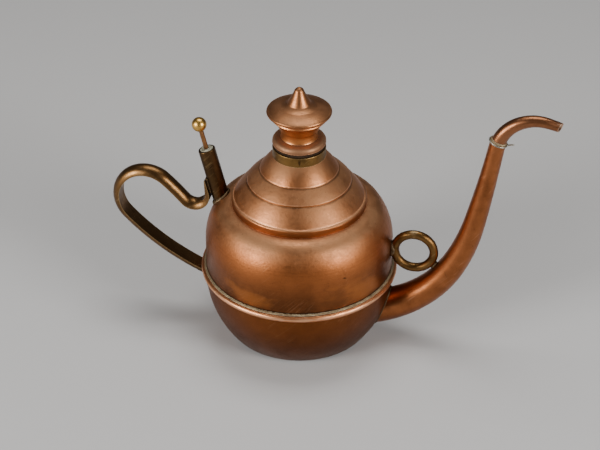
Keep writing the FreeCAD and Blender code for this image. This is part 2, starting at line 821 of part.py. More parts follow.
def return_spring():
    """Coil spring round the rod, between the seat and the collar."""
    wire = cell("spring_wire") / 2.0
    low = cell("seat_length") - cell("tube_below") + wire + 0.05
    high = collar_low() - wire - 0.05
    radius = cell("tube_radius") - cell("tube_wall") - 0.35 - wire
    body = document.addObject("PartDesign::Body", "return_spring")
    sketch = new_sketch(body, "spring_wire_section", "XZ_Plane")
    draw_circle(sketch, radius, low, wire)
    coil = body.newObject("PartDesign::AdditiveHelix", "spring_coil")
    coil.Profile = sketch
    coil.ReferenceAxis = (sketch, ["V_Axis"])
    coil.Mode = "height-turns-angle"
    coil.setExpression("Height", (high - low).text)
    coil.setExpression("Turns", cell("spring_turns").text)
    body.Tip = coil
    body.Placement = valve_place()
    return body


def valve_rod():
    """Brass rod from the thumb ball down to the valve nut, drilled for the collar's pin."""
    radius = cell("rod_radius")
    low = valve_low() - 2.0 * cell("disc_thick") - cell("nut_thick") - 1.0
    high = cell("ball_height") - 1.0
    body = turned("valve_rod_turned", [
        Corner(0, low),
        Corner(radius - 0.3, low),
        Corner(radius, low + 0.3),
        Corner(radius, high),
        Corner(0, high),
    ], valve_place())
    return cut("valve_rod", body, collar_pin_rod("rod_pin_hole", cell("pin_play")))


def thumb_ball():
    """Polished brass ball that the thumb presses."""
    radius = cell("ball_radius")
    centre = cell("ball_height")
    hole = cell("rod_radius") + 0.02
    drop = root(radius * radius - hole * hole)
    floor = centre - 0.98
    return turned("thumb_ball", [
        Corner(0, floor),
        Corner(hole, floor),
        Corner(hole, centre - drop),
        Corner(radius, centre, arc=radius, turn="left"),
        Corner(0, centre + radius, arc=radius, turn="left"),
    ], valve_place())


def ring_on_rod(label, radius, low, high):
    """A plain ring that fits the valve rod."""
    hole = cell("rod_radius") + 0.02
    return turned(label, [
        Corner(hole, low),
        Corner(radius, low),
        Corner(radius, high),
        Corner(hole, high),
    ], valve_place())


def valve_washer():
    """Leather washer that closes the seat from below."""
    high = valve_low()
    return ring_on_rod("valve_washer", cell("disc_radius"), high - cell("disc_thick"), high)


def valve_disc():
    """Brass disc that backs the valve washer."""
    high = valve_low() - cell("disc_thick")
    return ring_on_rod("valve_disc", cell("disc_radius"), high - cell("disc_thick"), high)


def valve_nut():
    """Small hexagon nut on the rod's lower end."""
    body = document.addObject("PartDesign::Body", "valve_nut")
    low = valve_low() - 2.0 * cell("disc_thick") - cell("nut_thick")
    offset = FreeCAD.Placement(FreeCAD.Vector(0, 0, low.number), FreeCAD.Rotation())
    sketch = new_sketch(body, "valve_nut_outline", "XY_Plane", offset)
    reach = cell("nut_flats") / math.sqrt(3.0)
    corners = []
    for index in range(6):
        angle = math.radians(60.0 * index + 30.0)
        corners.append(Corner(reach * math.cos(angle), reach * math.sin(angle)))
    draw_outline(sketch, corners)
    draw_circle(sketch, 0, 0, cell("rod_radius") + 0.02)
    pad = body.newObject("PartDesign::Pad", "valve_nut_pad")
    pad.Profile = sketch
    pad.setExpression("Length", cell("nut_thick").text)
    body.Tip = pad
    body.Placement = valve_place()
    return body


def valve_tube_solder():
    """Fillet of solder round the foot of the valve tube."""
    _, _, second = shoulder_join()
    arc_across = number("step1_radius")
    arc_up = number("step1_height") - second.number
    foot = FreeCAD.Vector(-tube_base_x().number, 0, number("tube_base_z"))
    way = FreeCAD.Vector(-(tube_base_x().number - arc_across), 0, number("tube_base_z") - arc_up)
    blob = ellipsoid("tube_solder_blob", 2.0, cell("tube_radius") + 1.5, upright_in(foot, way))
    return cut("valve_tube_solder", blob, can, tube_bar)


# ---------------------------------------------------------------- paths of the spout and handle


def bend_on(state, radius, turn):
    """Carry a heading point (across, up, angle) round a bend; turn is in radians."""
    across, up, angle = state
    side = 1.0 if turn > 0 else -1.0
    centre_across = across - side * radius * math.sin(angle)
    centre_up = up + side * radius * math.cos(angle)
    angle += turn
    return (centre_across + side * radius * math.sin(angle),
            centre_up - side * radius * math.cos(angle), angle)


def straight_on(state, length):
    """Carry a heading point straight on."""
    across, up, angle = state
    return across + length * math.cos(angle), up + length * math.sin(angle), angle


def spout_bends():
    """The spout's bends from root to joint, then the tip tube's: radius and turn."""
    bends = []
    for index in (1, 2, 3):
        turn = math.radians(number("spout_turn%d" % index))
        bends.append((number("spout_bend%d" % index), turn))
    bends.append((number("tip_bend"), -math.radians(number("tip_turn"))))
    return bends


def spout_length():
    """Length along the spout's axis from its root to the joint."""
    rising = sum(radius * abs(turn) for radius, turn in spout_bends()[:3])
    return rising + number("spout_crook")


def tip_length():
    """Length along the tip tube's axis."""
    radius, turn = spout_bends()[3]
    return radius * abs(turn) - number("spout_crook") + number("tip_straight")


def spout_point(length):
    """Point and heading of the spout's axis at a length from its root."""
    state = (spout_root_x().number, number("spout_root_z"),
             math.radians(number("spout_root_rise")))
    if length <= 0:
        return straight_on(state, length)
    for radius, turn in spout_bends():
        whole = radius * abs(turn)
        if length <= whole:
            return bend_on(state, radius, turn * length / whole)
        state = bend_on(state, radius, turn)
        length -= whole
    return straight_on(state, length)


def spout_place(length):
    """Placement at a length along the spout, with Z along its axis."""
    across, up, angle = spout_point(length)
    way = FreeCAD.Vector(math.cos(angle), 0, math.sin(angle))
    return upright_in(FreeCAD.Vector(across, 0, up), way)


def spout_radius(length):
    """Outside radius of the spout at a length from its root, through five named radii."""
    share = max(length, 0.0) / spout_length()
    stations = (0.0, 0.25, 0.5, 0.75, 1.0)
    names = ("spout_root_radius", "spout_swell_radius", "spout_middle_radius",
             "spout_neck_radius", "spout_end_radius")
    radius = Size(0.0, "0")
    for index, name in enumerate(names):
        weight = 1.0
        for other, station in enumerate(stations):
            if other != index:
                weight *= (share - station) / (stations[index] - station)
        radius = radius + cell(name) * weight
    return radius


def tip_radius(length):
    """Outside radius of the tip tube at a length from the joint."""
    share = min(max(length / tip_length(), 0.0), 1.0)
    return cell("tip_root_radius") * (1.0 - share) + cell("tip_end_radius") * share


def lofted(label, lengths, radii):
    """A round bar along the spout's axis through circles of the given radii."""
    rings = []
    for index, (length, radius) in enumerate(zip(lengths, radii)):
        ring = document.addObject("Part::Circle", "%s_ring_%d" % (label, index))
        ring.setExpression("Radius", radius.text)
        ring.Placement = spout_place(length)
        rings.append(ring)
    bar = document.addObject("Part::Loft", label)
    bar.Sections = rings
    bar.Solid = True
    bar.Ruled = False
    return bar


def even_lengths(start, end, count):
    """Evenly spaced lengths from start to end."""
    return [start + (end - start) * index / (count - 1) for index in range(count)]


def spout_bar(label, inset, start, end, count):
    """The spout's filled form, inset by a wall or grown by a negative one."""
    lengths = even_lengths(start, end, count)
    return lofted(label, lengths, [spout_radius(length) - inset for length in lengths])


def tip_bar(label, inset, start, end, count):
    """The tip tube's filled form, inset by a wall."""
    joint = spout_length()
    lengths = even_lengths(start, end, count)
    radii = [tip_radius(length) - inset for length in lengths]
    return lofted(label, [joint + length for length in lengths], radii)


def mouth_waste():
    """The waste beyond the tip tube's mouth, which is cut on a slant."""
    across, up, angle = spout_point(spout_length() + tip_length())
    slant = math.radians(number("tip_slant"))
    way = FreeCAD.Vector(math.cos(angle), 0, math.sin(angle))
    face = way * math.cos(slant) - FreeCAD.Vector(0, math.sin(slant), 0)
    back = number("tip_end_radius") * math.tan(slant)
    size = 5.0 * number("tip_end_radius")
    frame = FreeCAD.Rotation(FreeCAD.Vector(0, 0, 1), face)
    corner = frame.multVec(FreeCAD.Vector(-size / 2.0, -size / 2.0, 0))
    waste = document.addObject("Part::Box", "mouth_waste")
    for side in ("Length", "Width", "Height"):
        waste.setExpression(side, (5.0 * cell("tip_end_radius")).text)
    waste.Placement = FreeCAD.Placement(FreeCAD.Vector(across, 0, up) - way * back + corner, frame)
    return waste


def spout_root_solder():
    """Thin line of solder where the spout meets the bowl."""
    stand = 0.6
    low = cell("foot_height") + 3.0
    skin = turned("bowl_skin", [
        Corner(0, low),
        Corner(bowl_side(low) + stand, low),
        Corner(bowl_radius() + stand, bowl_level(), arc=cell("bowl_curve") + stand),
        Corner(0, bowl_level()),
    ])
    collar = spout_bar("spout_collar", -stand, -number("spout_root_start"), 12.0, 5)
    near = document.addObject("Part::Common", "spout_root_ring")
    near.Base = collar
    near.Tool = skin
    return cut("spout_root_solder", near, spout_solid, can)


def spout_joint_solder():
    """Ring of solder over the joint between the spout and the tip tube."""
    blob = ellipsoid("joint_blob", 1.9, cell("spout_end_radius") + 0.3,
                     spout_place(spout_length() + 0.1))
    return cut("spout_joint_solder", blob, spout_solid, tip_solid, tie_piece)


def spout_wire_tie():
    """Wire tied round the very end of the spout, with a short tail."""
    wire = 0.42
    back = 0.5
    level = spout_length() - back
    radius = spout_radius(level) + wire + number("solder_gap")
    hoop = torus("tie_hoop", radius, wire, spout_place(level))
    across, up, angle = spout_point(level)
    side = FreeCAD.Vector(math.sin(angle), 0, -math.cos(angle))
    start = FreeCAD.Vector(across, 0, up) + side * radius.number
    tail = cylinder("tie_tail", wire, 3.8, upright_in(start, FreeCAD.Vector(1.0, -0.1, 0.25)))
    return fused("spout_wire_tie", hoop, tail)


def ring_centre():
    """Centre of the hanging ring."""
    across = (number("body_radius") + number("ring_radius") + number("ring_wire")
              - number("ring_bite"))
    return FreeCAD.Vector(across, 0, number("ring_height"))


def hanging_ring():
    """Brass wire ring standing between the shell and the spout."""
    hoop = torus("ring_hoop", cell("ring_radius"), cell("ring_wire"),
                 upright_in(ring_centre(), FreeCAD.Vector(0, 1, 0)))
    return cut("hanging_ring", hoop, can)


def ring_solder():
    """Solder that holds the ring to the shell and to the spout."""
    centre = ring_centre()
    reach = min(
        ((FreeCAD.Vector(spout_point(step)[0], 0, spout_point(step)[1]) - centre).Length, step)
        for step in even_lengths(0.0, spout_length(), 261))
    nearest = spout_point(reach[1])
    way = FreeCAD.Vector(nearest[0], 0, nearest[1]) - centre
    way.normalize()
    gap_start = number("ring_radius") + number("ring_wire")
    gap_end = reach[0] - spout_radius(reach[1]).number
    along = FreeCAD.Vector(-way.z, 0, way.x)
    spout_blob = ellipsoid("ring_spout_blob", 2.7, 1.5,
                           upright_in(centre + way * ((gap_start + gap_end) / 2.0), along))
    shell_point = FreeCAD.Vector(number("body_radius") + 0.6, 0, number("ring_height"))
    shell_blob = ellipsoid("ring_shell_blob", 5.0, 2.9,
                           upright_in(shell_point, FreeCAD.Vector(0, 0, 1)))
    blobs = fused("ring_blobs", spout_blob, shell_blob)
    return cut("ring_solder", blobs, can, spout_solid, ring_piece)


def handle_path():
    """The flat face of the handle, from its tip beside the tube to its foot on the bowl.

    Across is the distance from the can's axis. Each run is a start, an end, and the bend
    between them as a radius and a turn, or None where it is straight.
    """
    lean = math.radians(number("tube_tilt"))
    stand = number("tube_radius") + number("solder_gap")
    crook = number("crook_bend")
    drop = number("handle_low") + crook - number("tube_base_z")
    along = (drop + math.sin(lean) * (stand + crook)) / math.cos(lean)

    def beside_tube(distance):
        across = tube_base_x().number + distance * math.sin(lean) + stand * math.cos(lean)
        up = number("tube_base_z") + distance * math.cos(lean) - stand * math.sin(lean)
        return across, up, -math.pi / 2 - lean

    runs = [(beside_tube(number("handle_tip")), beside_tube(along), None)]
    state = runs[0][1]
    rise = math.radians(number("rise_slope"))
    bends = [
        (crook, rise - state[2]),
        (number("rise_bend"), -math.radians(number("rise_turn"))),
        (number("top_bend"), -math.radians(number("top_turn"))),
        (number("back_bend"), -math.radians(number("back_turn"))),
        (number("under_bend"), -math.radians(number("under_turn"))),
    ]
    for radius, turn in bends:
        following = bend_on(state, radius, turn)
        runs.append((state, following, (radius, turn)))
        state = following

    # The last bend touches the bowl's side from outside, so its centre stands off the centre
    # of that side by both radii.
    small = number("foot_bend")
    side = number("bowl_curve") + number("solder_gap")
    middle_across = bowl_radius().number - number("bowl_curve")
    middle_up = bowl_level().number
    aside = (state[0] - small * math.sin(state[2]) - middle_across,
             state[1] + small * math.cos(state[2]) - middle_up)
    way = (math.cos(state[2]), math.sin(state[2]))
    dot = aside[0] * way[0] + aside[1] * way[1]
    short = aside[0] ** 2 + aside[1] ** 2 - (side + small) ** 2
    step = -dot - math.sqrt(dot * dot - short)
    near = straight_on(state, step)
    runs.append((state, near, None))
    slope = math.atan2(aside[1] + step * way[1], aside[0] + step * way[0])
    landing = slope - math.pi / 2
    touch = bend_on(near, small, landing - near[2])
    runs.append((near, touch, (small, landing - near[2])))
    strap = -number("foot_strap") / side
    runs.append((touch, bend_on(touch, side, strap), (side, strap)))
    return runs


def draw_path(sketch, runs):
    """Draw straight runs and bends end to end, each end held in its place."""
    before = None
    for start, end, bend in runs:
        first = FreeCAD.Vector(start[0], start[1], 0)
        last = FreeCAD.Vector(end[0], end[1], 0)
        if bend is None:
            geometry = sketch.addGeometry(Part.LineSegment(first, last))
            head, tail = 1, 2
        else:
            radius, turn = bend
            middle_state = bend_on(start, radius, turn / 2.0)
            middle = FreeCAD.Vector(middle_state[0], middle_state[1], 0)
            forward = turn > 0
            ends = (first, middle, last) if forward else (last, middle, first)
            geometry = sketch.addGeometry(Part.Arc(*ends))
            head, tail = (1, 2) if forward else (2, 1)
            sketch.addConstraint(Sketcher.Constraint("Radius", geometry, radius))
        if before is not None:
            sketch.addConstraint(
                Sketcher.Constraint("Coincident", before[0], before[1], geometry, head))
        else:
            hold_point(sketch, geometry, head, as_size(first.x), as_size(first.y))
        hold_point(sketch, geometry, tail, as_size(last.x), as_size(last.y))
        before = (geometry, tail)


def handle():
    """Brass half-round bar bent to the handle's shape, hammered thin at its tip."""
    runs = handle_path()
    body = document.addObject("PartDesign::Body", "handle_bent")
    path = new_sketch(body, "handle_line", "XZ_Plane")
    draw_path(path, runs)
    start = runs[0][0]
    way = FreeCAD.Vector(math.cos(start[2]), 0, math.sin(start[2]))
    bulge = FreeCAD.Vector(-way.z, 0, way.x)
    turn = FreeCAD.Rotation(bulge.cross(way), bulge, way, "ZXY")
    offset = FreeCAD.Placement(FreeCAD.Vector(start[0], 0, start[1]), turn)
    section = new_sketch(body, "handle_section", "XY_Plane", offset)
    half = cell("bar_width") / 2.0
    edge = cell("bar_edge")
    crown = cell("bar_thick") - edge
    curve = (half * half + crown * crown) / (2.0 * crown)
    left = 0.0 - half
    draw_outline(section, [
        Corner(left, 0),
        Corner(half, 0),
        Corner(half, edge),
        Corner(0, cell("bar_thick"), arc=curve, turn="left"),
        Corner(left, edge, arc=curve, turn="left"),
    ])
    pipe = body.newObject("PartDesign::AdditivePipe", "handle_bar")
    pipe.Profile = section
    pipe.Spine = (path, ["Edge%d" % (index + 1) for index in range(len(runs))])
    pipe.Mode = "Binormal"
    pipe.Binormal = FreeCAD.Vector(0, 1, 0)
    body.Tip = pipe
    body.Placement = FreeCAD.Placement(
        FreeCAD.Vector(0, 0, 0), FreeCAD.Rotation(FreeCAD.Vector(0, 0, 1), 180))

    # The tip is hammered to a wedge over the straight run beside the tube, and the bar comes
    # back to its full thickness round the inside of the upper bend.
    _, low, _ = runs[0]
    reach = math.hypot(start[0] - low[0], start[1] - low[1])
    thin = number("bar_tip_thick")
    thick = number("bar_hammered")
    hollow = cell("crook_bend") - cell("bar_thick")
    lean = math.radians(number("tube_tilt"))
    outward = FreeCAD.Vector(-math.cos(lean), 0, -math.sin(lean))
    foot = FreeCAD.Vector(-low[0], 0, low[1]) + outward * thick
    rise = valve_axis() * reach - outward * (thick - thin)
    across = FreeCAD.Vector(0, -1, 0)
    frame = FreeCAD.Rotation(across.cross(rise), across, rise, "ZYX")
    width = cell("bar_width") + 2.0
    wedge = document.addObject("Part::Box", "handle_tip_waste")
    wedge.Length = 8.0
    wedge.setExpression("Width", width.text)
    wedge.Height = rise.Length + 2.0
    corner = foot + frame.multVec(FreeCAD.Vector(0, -width.number / 2.0, 0))
    wedge.Placement = FreeCAD.Placement(corner, frame)
    centre = foot + outward * hollow.number - across * (width.number / 2.0)
    round_waste = cylinder("handle_bend_waste", hollow, width, upright_in(centre, across))
    waste = fused("handle_waste", wedge, round_waste)
    return cut("handle", body, waste)


def handle_solder():
    """Solder between the handle's tip and the tube, and round its foot on the bowl."""
    length = cell("handle_tip") - 4.0
    width = cell("bar_width") - 3.0
    wedge = document.addObject("Part::Box", "tip_solder_block")
    wedge.setExpression("Length", (cell("tube_radius") + cell("solder_gap")).text)
    wedge.setExpression("Width", width.text)
    wedge.setExpression("Height", length.text)
    lean = FreeCAD.Rotation(FreeCAD.Vector(0, 0, 1), valve_axis())
    corner = lean.multVec(FreeCAD.Vector(-cell("tube_radius").number - number("solder_gap"),
                                         -width.number / 2.0, 4.5))
    foot = FreeCAD.Vector(-tube_base_x().number, 0, number("tube_base_z"))
    wedge.Placement = FreeCAD.Placement(foot + corner, lean)
    fat_tube = cylinder("tip_solder_tube", cell("tube_radius") + 0.1,
                        cell("tube_above") + 10.0, valve_place(-10.0))
    tip = cut("tip_solder", wedge, fat_tube)
    touch, end, _ = handle_path()[-1]
    middle = FreeCAD.Vector(-(touch[0] + end[0]) / 2.0, 0, (touch[1] + end[1]) / 2.0)
    way = FreeCAD.Vector(-(end[0] - touch[0]), 0, end[1] - touch[1])
    pool = ellipsoid("foot_solder_blob", cell("foot_strap") / 2.0 + 2.2, 1.5,
                     upright_in(middle, way))
    pool.setExpression("Radius3", (cell("bar_width") / 2.0 + 1.6).text)
    both = fused("handle_solder_blobs", tip, pool)
    return cut("handle_solder", both, can, handle_piece)


# ---------------------------------------------------------------- building and checking

can = envelope()
tube_bar = cylinder("tube_bar", cell("tube_radius"), cell("tube_below") + cell("tube_above"),
                    valve_place(-number("tube_below")))
spout_solid = spout_bar("spout_solid", 0.0, -number("spout_root_start"), spout_length(), 16)
tip_solid = tip_bar("tip_solid", 0.0, number("solder_gap"), tip_length(), 12)
ring_piece = hanging_ring()
tie_piece = spout_wire_tie()
handle_piece = handle()

spout_bore = spout_bar("spout_bore", cell("spout_wall"), -number("spout_root_start") - 2.0,
                       spout_length() + 1.0, 16)
tip_bore = tip_bar("tip_bore", cell("tip_wall"), -1.0, tip_length() + 1.0, 12)

pieces = {
    "lower_bowl": lower_bowl(),
    "upper_body": upper_body(),
    "seam_bead": seam_bead(),
    "seam_solder": seam_solder(),
    "neck_ring": neck_ring(),
    "cap_washer": cap_washer(),
    "cap_plug": cap_plug(),
    "cap_skirt": cap_skirt(),
    "cap_knob_lower": cap_knob_lower(),
    "cap_knob_top": cap_knob_top(),
    "spout_tube": cut("spout_tube", spout_solid, spout_bore, can),
    "spout_tip": cut("spout_tip", tip_solid, tip_bore, mouth_waste()),
    "spout_root_solder": spout_root_solder(),
    "spout_joint_solder": spout_joint_solder(),
    "spout_wire_tie": tie_piece,
    "hanging_ring": ring_piece,
    "ring_solder": ring_solder(),
    "handle": handle_piece,
    "handle_solder": handle_solder(),
    "valve_tube": valve_tube(),
    "valve_tube_solder": valve_tube_solder(),
    "gland_packing": gland_packing(),
    "guide_bush": guide_bush(),
    "valve_seat": valve_seat(),
    "return_spring": return_spring(),
    "spring_collar": spring_collar(),
    "collar_pin": collar_pin_rod("collar_pin", 0.0),
    "valve_rod": valve_rod(),
    "thumb_ball": thumb_ball(),
    "valve_washer": valve_washer(),
    "valve_disc": valve_disc(),
    "valve_nut": valve_nut(),
}
document.recompute()

faults = []
for thing in document.Objects:
    if "Invalid" in thing.State or "Error" in thing.State:
        faults.append("%s: %s" % (thing.Label, ", ".join(thing.State)))
for name, piece in pieces.items():
    shape = piece.Shape
    if shape.isNull() or not shape.isValid() or shape.Volume <= 0:
        faults.append("%s has no valid shape" % name)
if faults:
    raise RuntimeError("; ".join(faults))

os.makedirs("parts", exist_ok=True)
for name, piece in pieces.items():
    piece.Label = name
    shape = piece.Shape
    shape.exportStep("parts/%s.step" % name)
    box = shape.BoundBox
    print("%-20s solids %d volume %9.1f  x %7.1f %7.1f  y %6.1f %6.1f  z %6.1f %6.1f" % (
        name, len(shape.Solids), shape.Volume, box.XMin, box.XMax, box.YMin, box.YMax,
        box.ZMin, box.ZMax))
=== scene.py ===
"""Looks of a copper oil can with a swan-neck spout, a strap handle and a thumb valve.

Every length is in metres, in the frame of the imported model: +Z up from the can's base, the
spout towards +X and the handle towards -X.
"""

import logging
import math
from dataclasses import dataclass
from enum import Enum

import bmesh
import bpy
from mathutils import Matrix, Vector, noise


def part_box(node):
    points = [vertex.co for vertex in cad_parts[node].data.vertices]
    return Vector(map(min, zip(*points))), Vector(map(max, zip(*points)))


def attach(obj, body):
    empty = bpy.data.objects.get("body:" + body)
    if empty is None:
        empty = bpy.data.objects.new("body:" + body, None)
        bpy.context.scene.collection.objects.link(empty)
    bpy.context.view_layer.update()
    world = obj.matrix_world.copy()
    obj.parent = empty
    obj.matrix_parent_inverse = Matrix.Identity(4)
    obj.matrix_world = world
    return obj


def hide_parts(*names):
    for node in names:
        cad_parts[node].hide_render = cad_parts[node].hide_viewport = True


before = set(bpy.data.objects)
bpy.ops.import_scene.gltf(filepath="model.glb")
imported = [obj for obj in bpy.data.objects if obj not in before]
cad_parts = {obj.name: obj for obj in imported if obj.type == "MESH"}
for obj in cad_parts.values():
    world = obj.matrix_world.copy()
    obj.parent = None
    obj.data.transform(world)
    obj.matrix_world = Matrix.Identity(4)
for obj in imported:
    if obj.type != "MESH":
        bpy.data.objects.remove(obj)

LOG = logging.getLogger("oil_can")
MM = 0.001
Colour = tuple[float, float, float]

# The Mix node's colour sockets come after those it has for numbers and vectors.
MIX_SHARE, MIX_FIRST, MIX_SECOND, MIX_RESULT = 0, 6, 7, 2

# How strongly each mask of a metal finish tints it, dulls it and marks its relief.
GRAIN_TINT = 0.35
RING_TINT = 0.35
SCRATCH_TINT = 0.38
CROSS_TINT = 0.45
SPECK_TINT = 0.7
GRAIN_DULLING = 0.07
HOLLOW_DULLING = 0.25
FILM_DULLING = 0.24
SCRATCH_DULLING = 0.10
SCRATCH_DEPTH = 0.012 * MM
SPECK_DEPTH = 0.03 * MM
RING_DEPTH = 0.010 * MM

# The dark scratches cross the bright ones at this angle (radians), and are finer.
CROSS_TURN = 1.2
CROSS_SCALE = 2300.0

# Where a mask begins and where it is full: the ring tone, the upward part of the normal for
# the film, the cosine of the bend at a worn edge, and the open share of a corner's view.
RING_TONES = (0.42, 0.66)
FILM_SLOPES = (0.25, 0.85)
EDGE_BENDS = (0.995, 0.93)
HOLLOW_VIEWS = (0.62, 0.18)

# How a hand-worked mesh is smoothed, and its two sizes of lump with the share of each.
SETTLE_FACTOR = 0.5
SETTLE_ROUNDS = 3
FINE_LUMPS = 2.7
BROAD_SHARE, FINE_SHARE = 0.7, 0.3


class Body(Enum):
    """The rigid bodies that detailed pieces ride on."""

    CAN = "can"
    WASHER = "washer"


# ------------------------------------------------------------------ shader building


class Tree:
    """A small helper that adds nodes to one node tree and links them."""

    def __init__(self, tree: bpy.types.NodeTree) -> None:
        """Keep the tree that nodes are added to."""
        self.tree = tree

    def node(self, kind: str, **settings: object) -> bpy.types.Node:
        """Add a node.

        Args:
            kind: the node's type without its ShaderNode prefix.
            settings: properties set on the node.

        Returns:
            The new node.
        """
        made = self.tree.nodes.new("ShaderNode" + kind)
        for name, value in settings.items():
            setattr(made, name, value)
        return made

    def feed(self, socket: bpy.types.NodeSocket, value: object) -> None:
        """Link an output to a socket, or set the socket to a plain value."""
        if isinstance(value, bpy.types.NodeSocket):
            self.tree.links.new(value, socket)
        else:
            socket.default_value = value

    def maths(self, operation: str, first: object, second: object = 0.0,
              clamp: bool = False) -> bpy.types.NodeSocket:
        """Add a Math node and return its output."""
        made = self.node("Math", operation=operation, use_clamp=clamp)
        self.feed(made.inputs[0], first)
        self.feed(made.inputs[1], second)
        return made.outputs[0]

    def spread(self, value: object, low: object, high: object, bottom: float = 0.0,
               top: float = 1.0) -> bpy.types.NodeSocket:
        """Map a value smoothly from low..high to bottom..top, clamped."""
        made = self.node("MapRange", interpolation_type="SMOOTHSTEP")
        self.feed(made.inputs["Value"], value)
        self.feed(made.inputs["From Min"], low)
        self.feed(made.inputs["From Max"], high)
        self.feed(made.inputs["To Min"], bottom)
        self.feed(made.inputs["To Max"], top)
        return made.outputs[0]

    def noise(self, vector: object, scale: object, detail: float = 3.0,
              roughness: float = 0.55, twist: float = 0.0) -> bpy.types.NodeSocket:
        """Add a 3-D noise texture and return its value."""
        made = self.node("TexNoise")
        self.feed(made.inputs["Vector"], vector)
        self.feed(made.inputs["Scale"], scale)
        made.inputs["Detail"].default_value = detail
        made.inputs["Roughness"].default_value = roughness
        made.inputs["Distortion"].default_value = twist
        return made.outputs[0]

    def blend(self, share: object, first: object, second: object) -> bpy.types.NodeSocket:
        """Mix two colours by a share and return the result."""
        made = self.node("Mix", data_type="RGBA")
        for place, value in ((MIX_SHARE, share), (MIX_FIRST, first), (MIX_SECOND, second)):
            if isinstance(value, tuple) and len(value) == 3:
                value = (*value, 1.0)
            self.feed(made.inputs[place], value)
        return made.outputs[MIX_RESULT]

    def bump(self, height: bpy.types.NodeSocket) -> bpy.types.NodeSocket:
        """Return the normal of a surface raised by a height in metres."""
        made = self.node("Bump")
        made.inputs["Strength"].default_value = 1.0
        made.inputs["Distance"].default_value = 1.0
        self.feed(made.inputs["Height"], height)
        return made.outputs[0]

    def place(self, group: "Effect", **values: object) -> bpy.types.Node:
        """Put an effect's node group in this tree.

        Args:
            group: the effect.
            values: its inputs by name, as outputs or plain values.

        Returns:
            The group's node, whose outputs are read by name.
        """
        made = self.tree.nodes.new("ShaderNodeGroup")
        made.node_tree = group.tree()
        for name, value in values.items():
            self.feed(made.inputs[name], value)
        return made


class Effect:
    """A surface effect that several finishes share, built once as a shader node group."""

    name = "effect"
    inputs: tuple[tuple[str, str, float], ...] = ()
    outputs: tuple[str, ...] = ("Mask",)

    def tree(self) -> bpy.types.NodeTree:
        """Return the effect's group, building it the first time."""
        known = bpy.data.node_groups.get(self.name)
        if known is not None:
            return known
        group = bpy.data.node_groups.new(self.name, "ShaderNodeTree")
        group.interface.new_socket("Vector", in_out="INPUT", socket_type="NodeSocketVector")
        for label, kind, value in self.inputs:
            socket = group.interface.new_socket(label, in_out="INPUT",
                                                socket_type="NodeSocket" + kind)
            if kind == "Float":
                socket.default_value = value
        for label in self.outputs:
            group.interface.new_socket(label, in_out="OUTPUT", socket_type="NodeSocketFloat")
        build = Tree(group)
        source = group.nodes.new("NodeGroupInput").outputs
        sink = group.nodes.new("NodeGroupOutput").inputs
        for label, value in self.wire(build, source).items():
            build.feed(sink[label], value)
        return group

    def wire(self, build: Tree, source: object) -> dict[str, bpy.types.NodeSocket]:
        """Add the effect's nodes and return its outputs by name."""
        raise NotImplementedError


class Unwrapped(Effect):
    """Runs round the can's axis and up it, so that patterns follow a turned surface."""

    name = "unwrapped"
    outputs = ("Round", "Up", "Out")
    mean_radius = 0.04

    def wire(self, build: Tree, source: object) -> dict[str, bpy.types.NodeSocket]:
        """Give arc length at the can's mean radius, height and distance from the axis."""
        parts = build.node("SeparateXYZ")
        build.feed(parts.inputs[0], source["Vector"])
        across, deep, up = parts.outputs
        angle = build.maths("ARCTAN2", deep, across)
        flat = build.maths("ADD", build.maths("MULTIPLY", across, across),
                           build.maths("MULTIPLY", deep, deep))
        return {"Round": build.maths("MULTIPLY", angle, self.mean_radius), "Up": up,
                "Out": build.maths("SQRT", flat)}


class Patina(Effect):
    """Cloudy mottling of old metal, as a soft large mask and a finer one."""

    name = "patina"
    inputs = (("Scale", "Float", 60.0), ("Contrast", "Float", 2.0))
    outputs = ("Cloud", "Grain")
    middle_scale, fine_scale = 4.3, 24.0
    large_share, middle_share = 0.62, 0.38

    def wire(self, build: Tree, source: object) -> dict[str, bpy.types.NodeSocket]:
        """Layer three scales of noise and raise their contrast."""
        large = build.noise(source["Vector"], source["Scale"], 3.0, 0.5, 0.6)
        middle = build.noise(source["Vector"], build.maths("MULTIPLY", source["Scale"],
                                                           self.middle_scale),
                             5.0, 0.62, 0.2)
        fine = build.noise(source["Vector"], build.maths("MULTIPLY", source["Scale"],
                                                         self.fine_scale), 4.0, 0.7)
        both = build.maths("ADD", build.maths("MULTIPLY", large, self.large_share),
                           build.maths("MULTIPLY", middle, self.middle_share))
        spread = build.maths("MULTIPLY", build.maths("SUBTRACT", both, 0.5),
                             source["Contrast"])
        return {"Cloud": build.maths("ADD", spread, 0.5, clamp=True),
                "Grain": build.spread(fine, 0.34, 0.68)}


class Scratches(Effect):
    """Fine straight scratches in patches, all near one direction."""

    name = "scratches"
    inputs = (("Turn", "Float", 0.8), ("Scale", "Float", 1900.0), ("Amount", "Float", 0.5))
    stretch = (0.016, 0.30, 1.0)
    patch_scale = 70.0

    def wire(self, build: Tree, source: object) -> dict[str, bpy.types.NodeSocket]:
        """Stretch noise along one direction, keep its peaks, and break it into patches."""
        turned = build.node("VectorRotate", rotation_type="Y_AXIS")
        build.feed(turned.inputs["Vector"], source["Vector"])
        build.feed(turned.inputs["Angle"], source["Turn"])
        squeezed = build.node("VectorMath", operation="MULTIPLY")
        build.feed(squeezed.inputs[0], turned.outputs[0])
        squeezed.inputs[1].default_value = self.stretch
        lines = build.noise(squeezed.outputs[0], source["Scale"], 2.0, 0.5)
        peaks = build.spread(lines, 0.58, 0.70)
        patches = build.spread(build.noise(source["Vector"], self.patch_scale, 3.0),
                               0.42, 0.62)
        kept = build.maths("MULTIPLY", peaks, patches)
        return {"Mask": build.maths("MULTIPLY", kept, source["Amount"], clamp=True)}


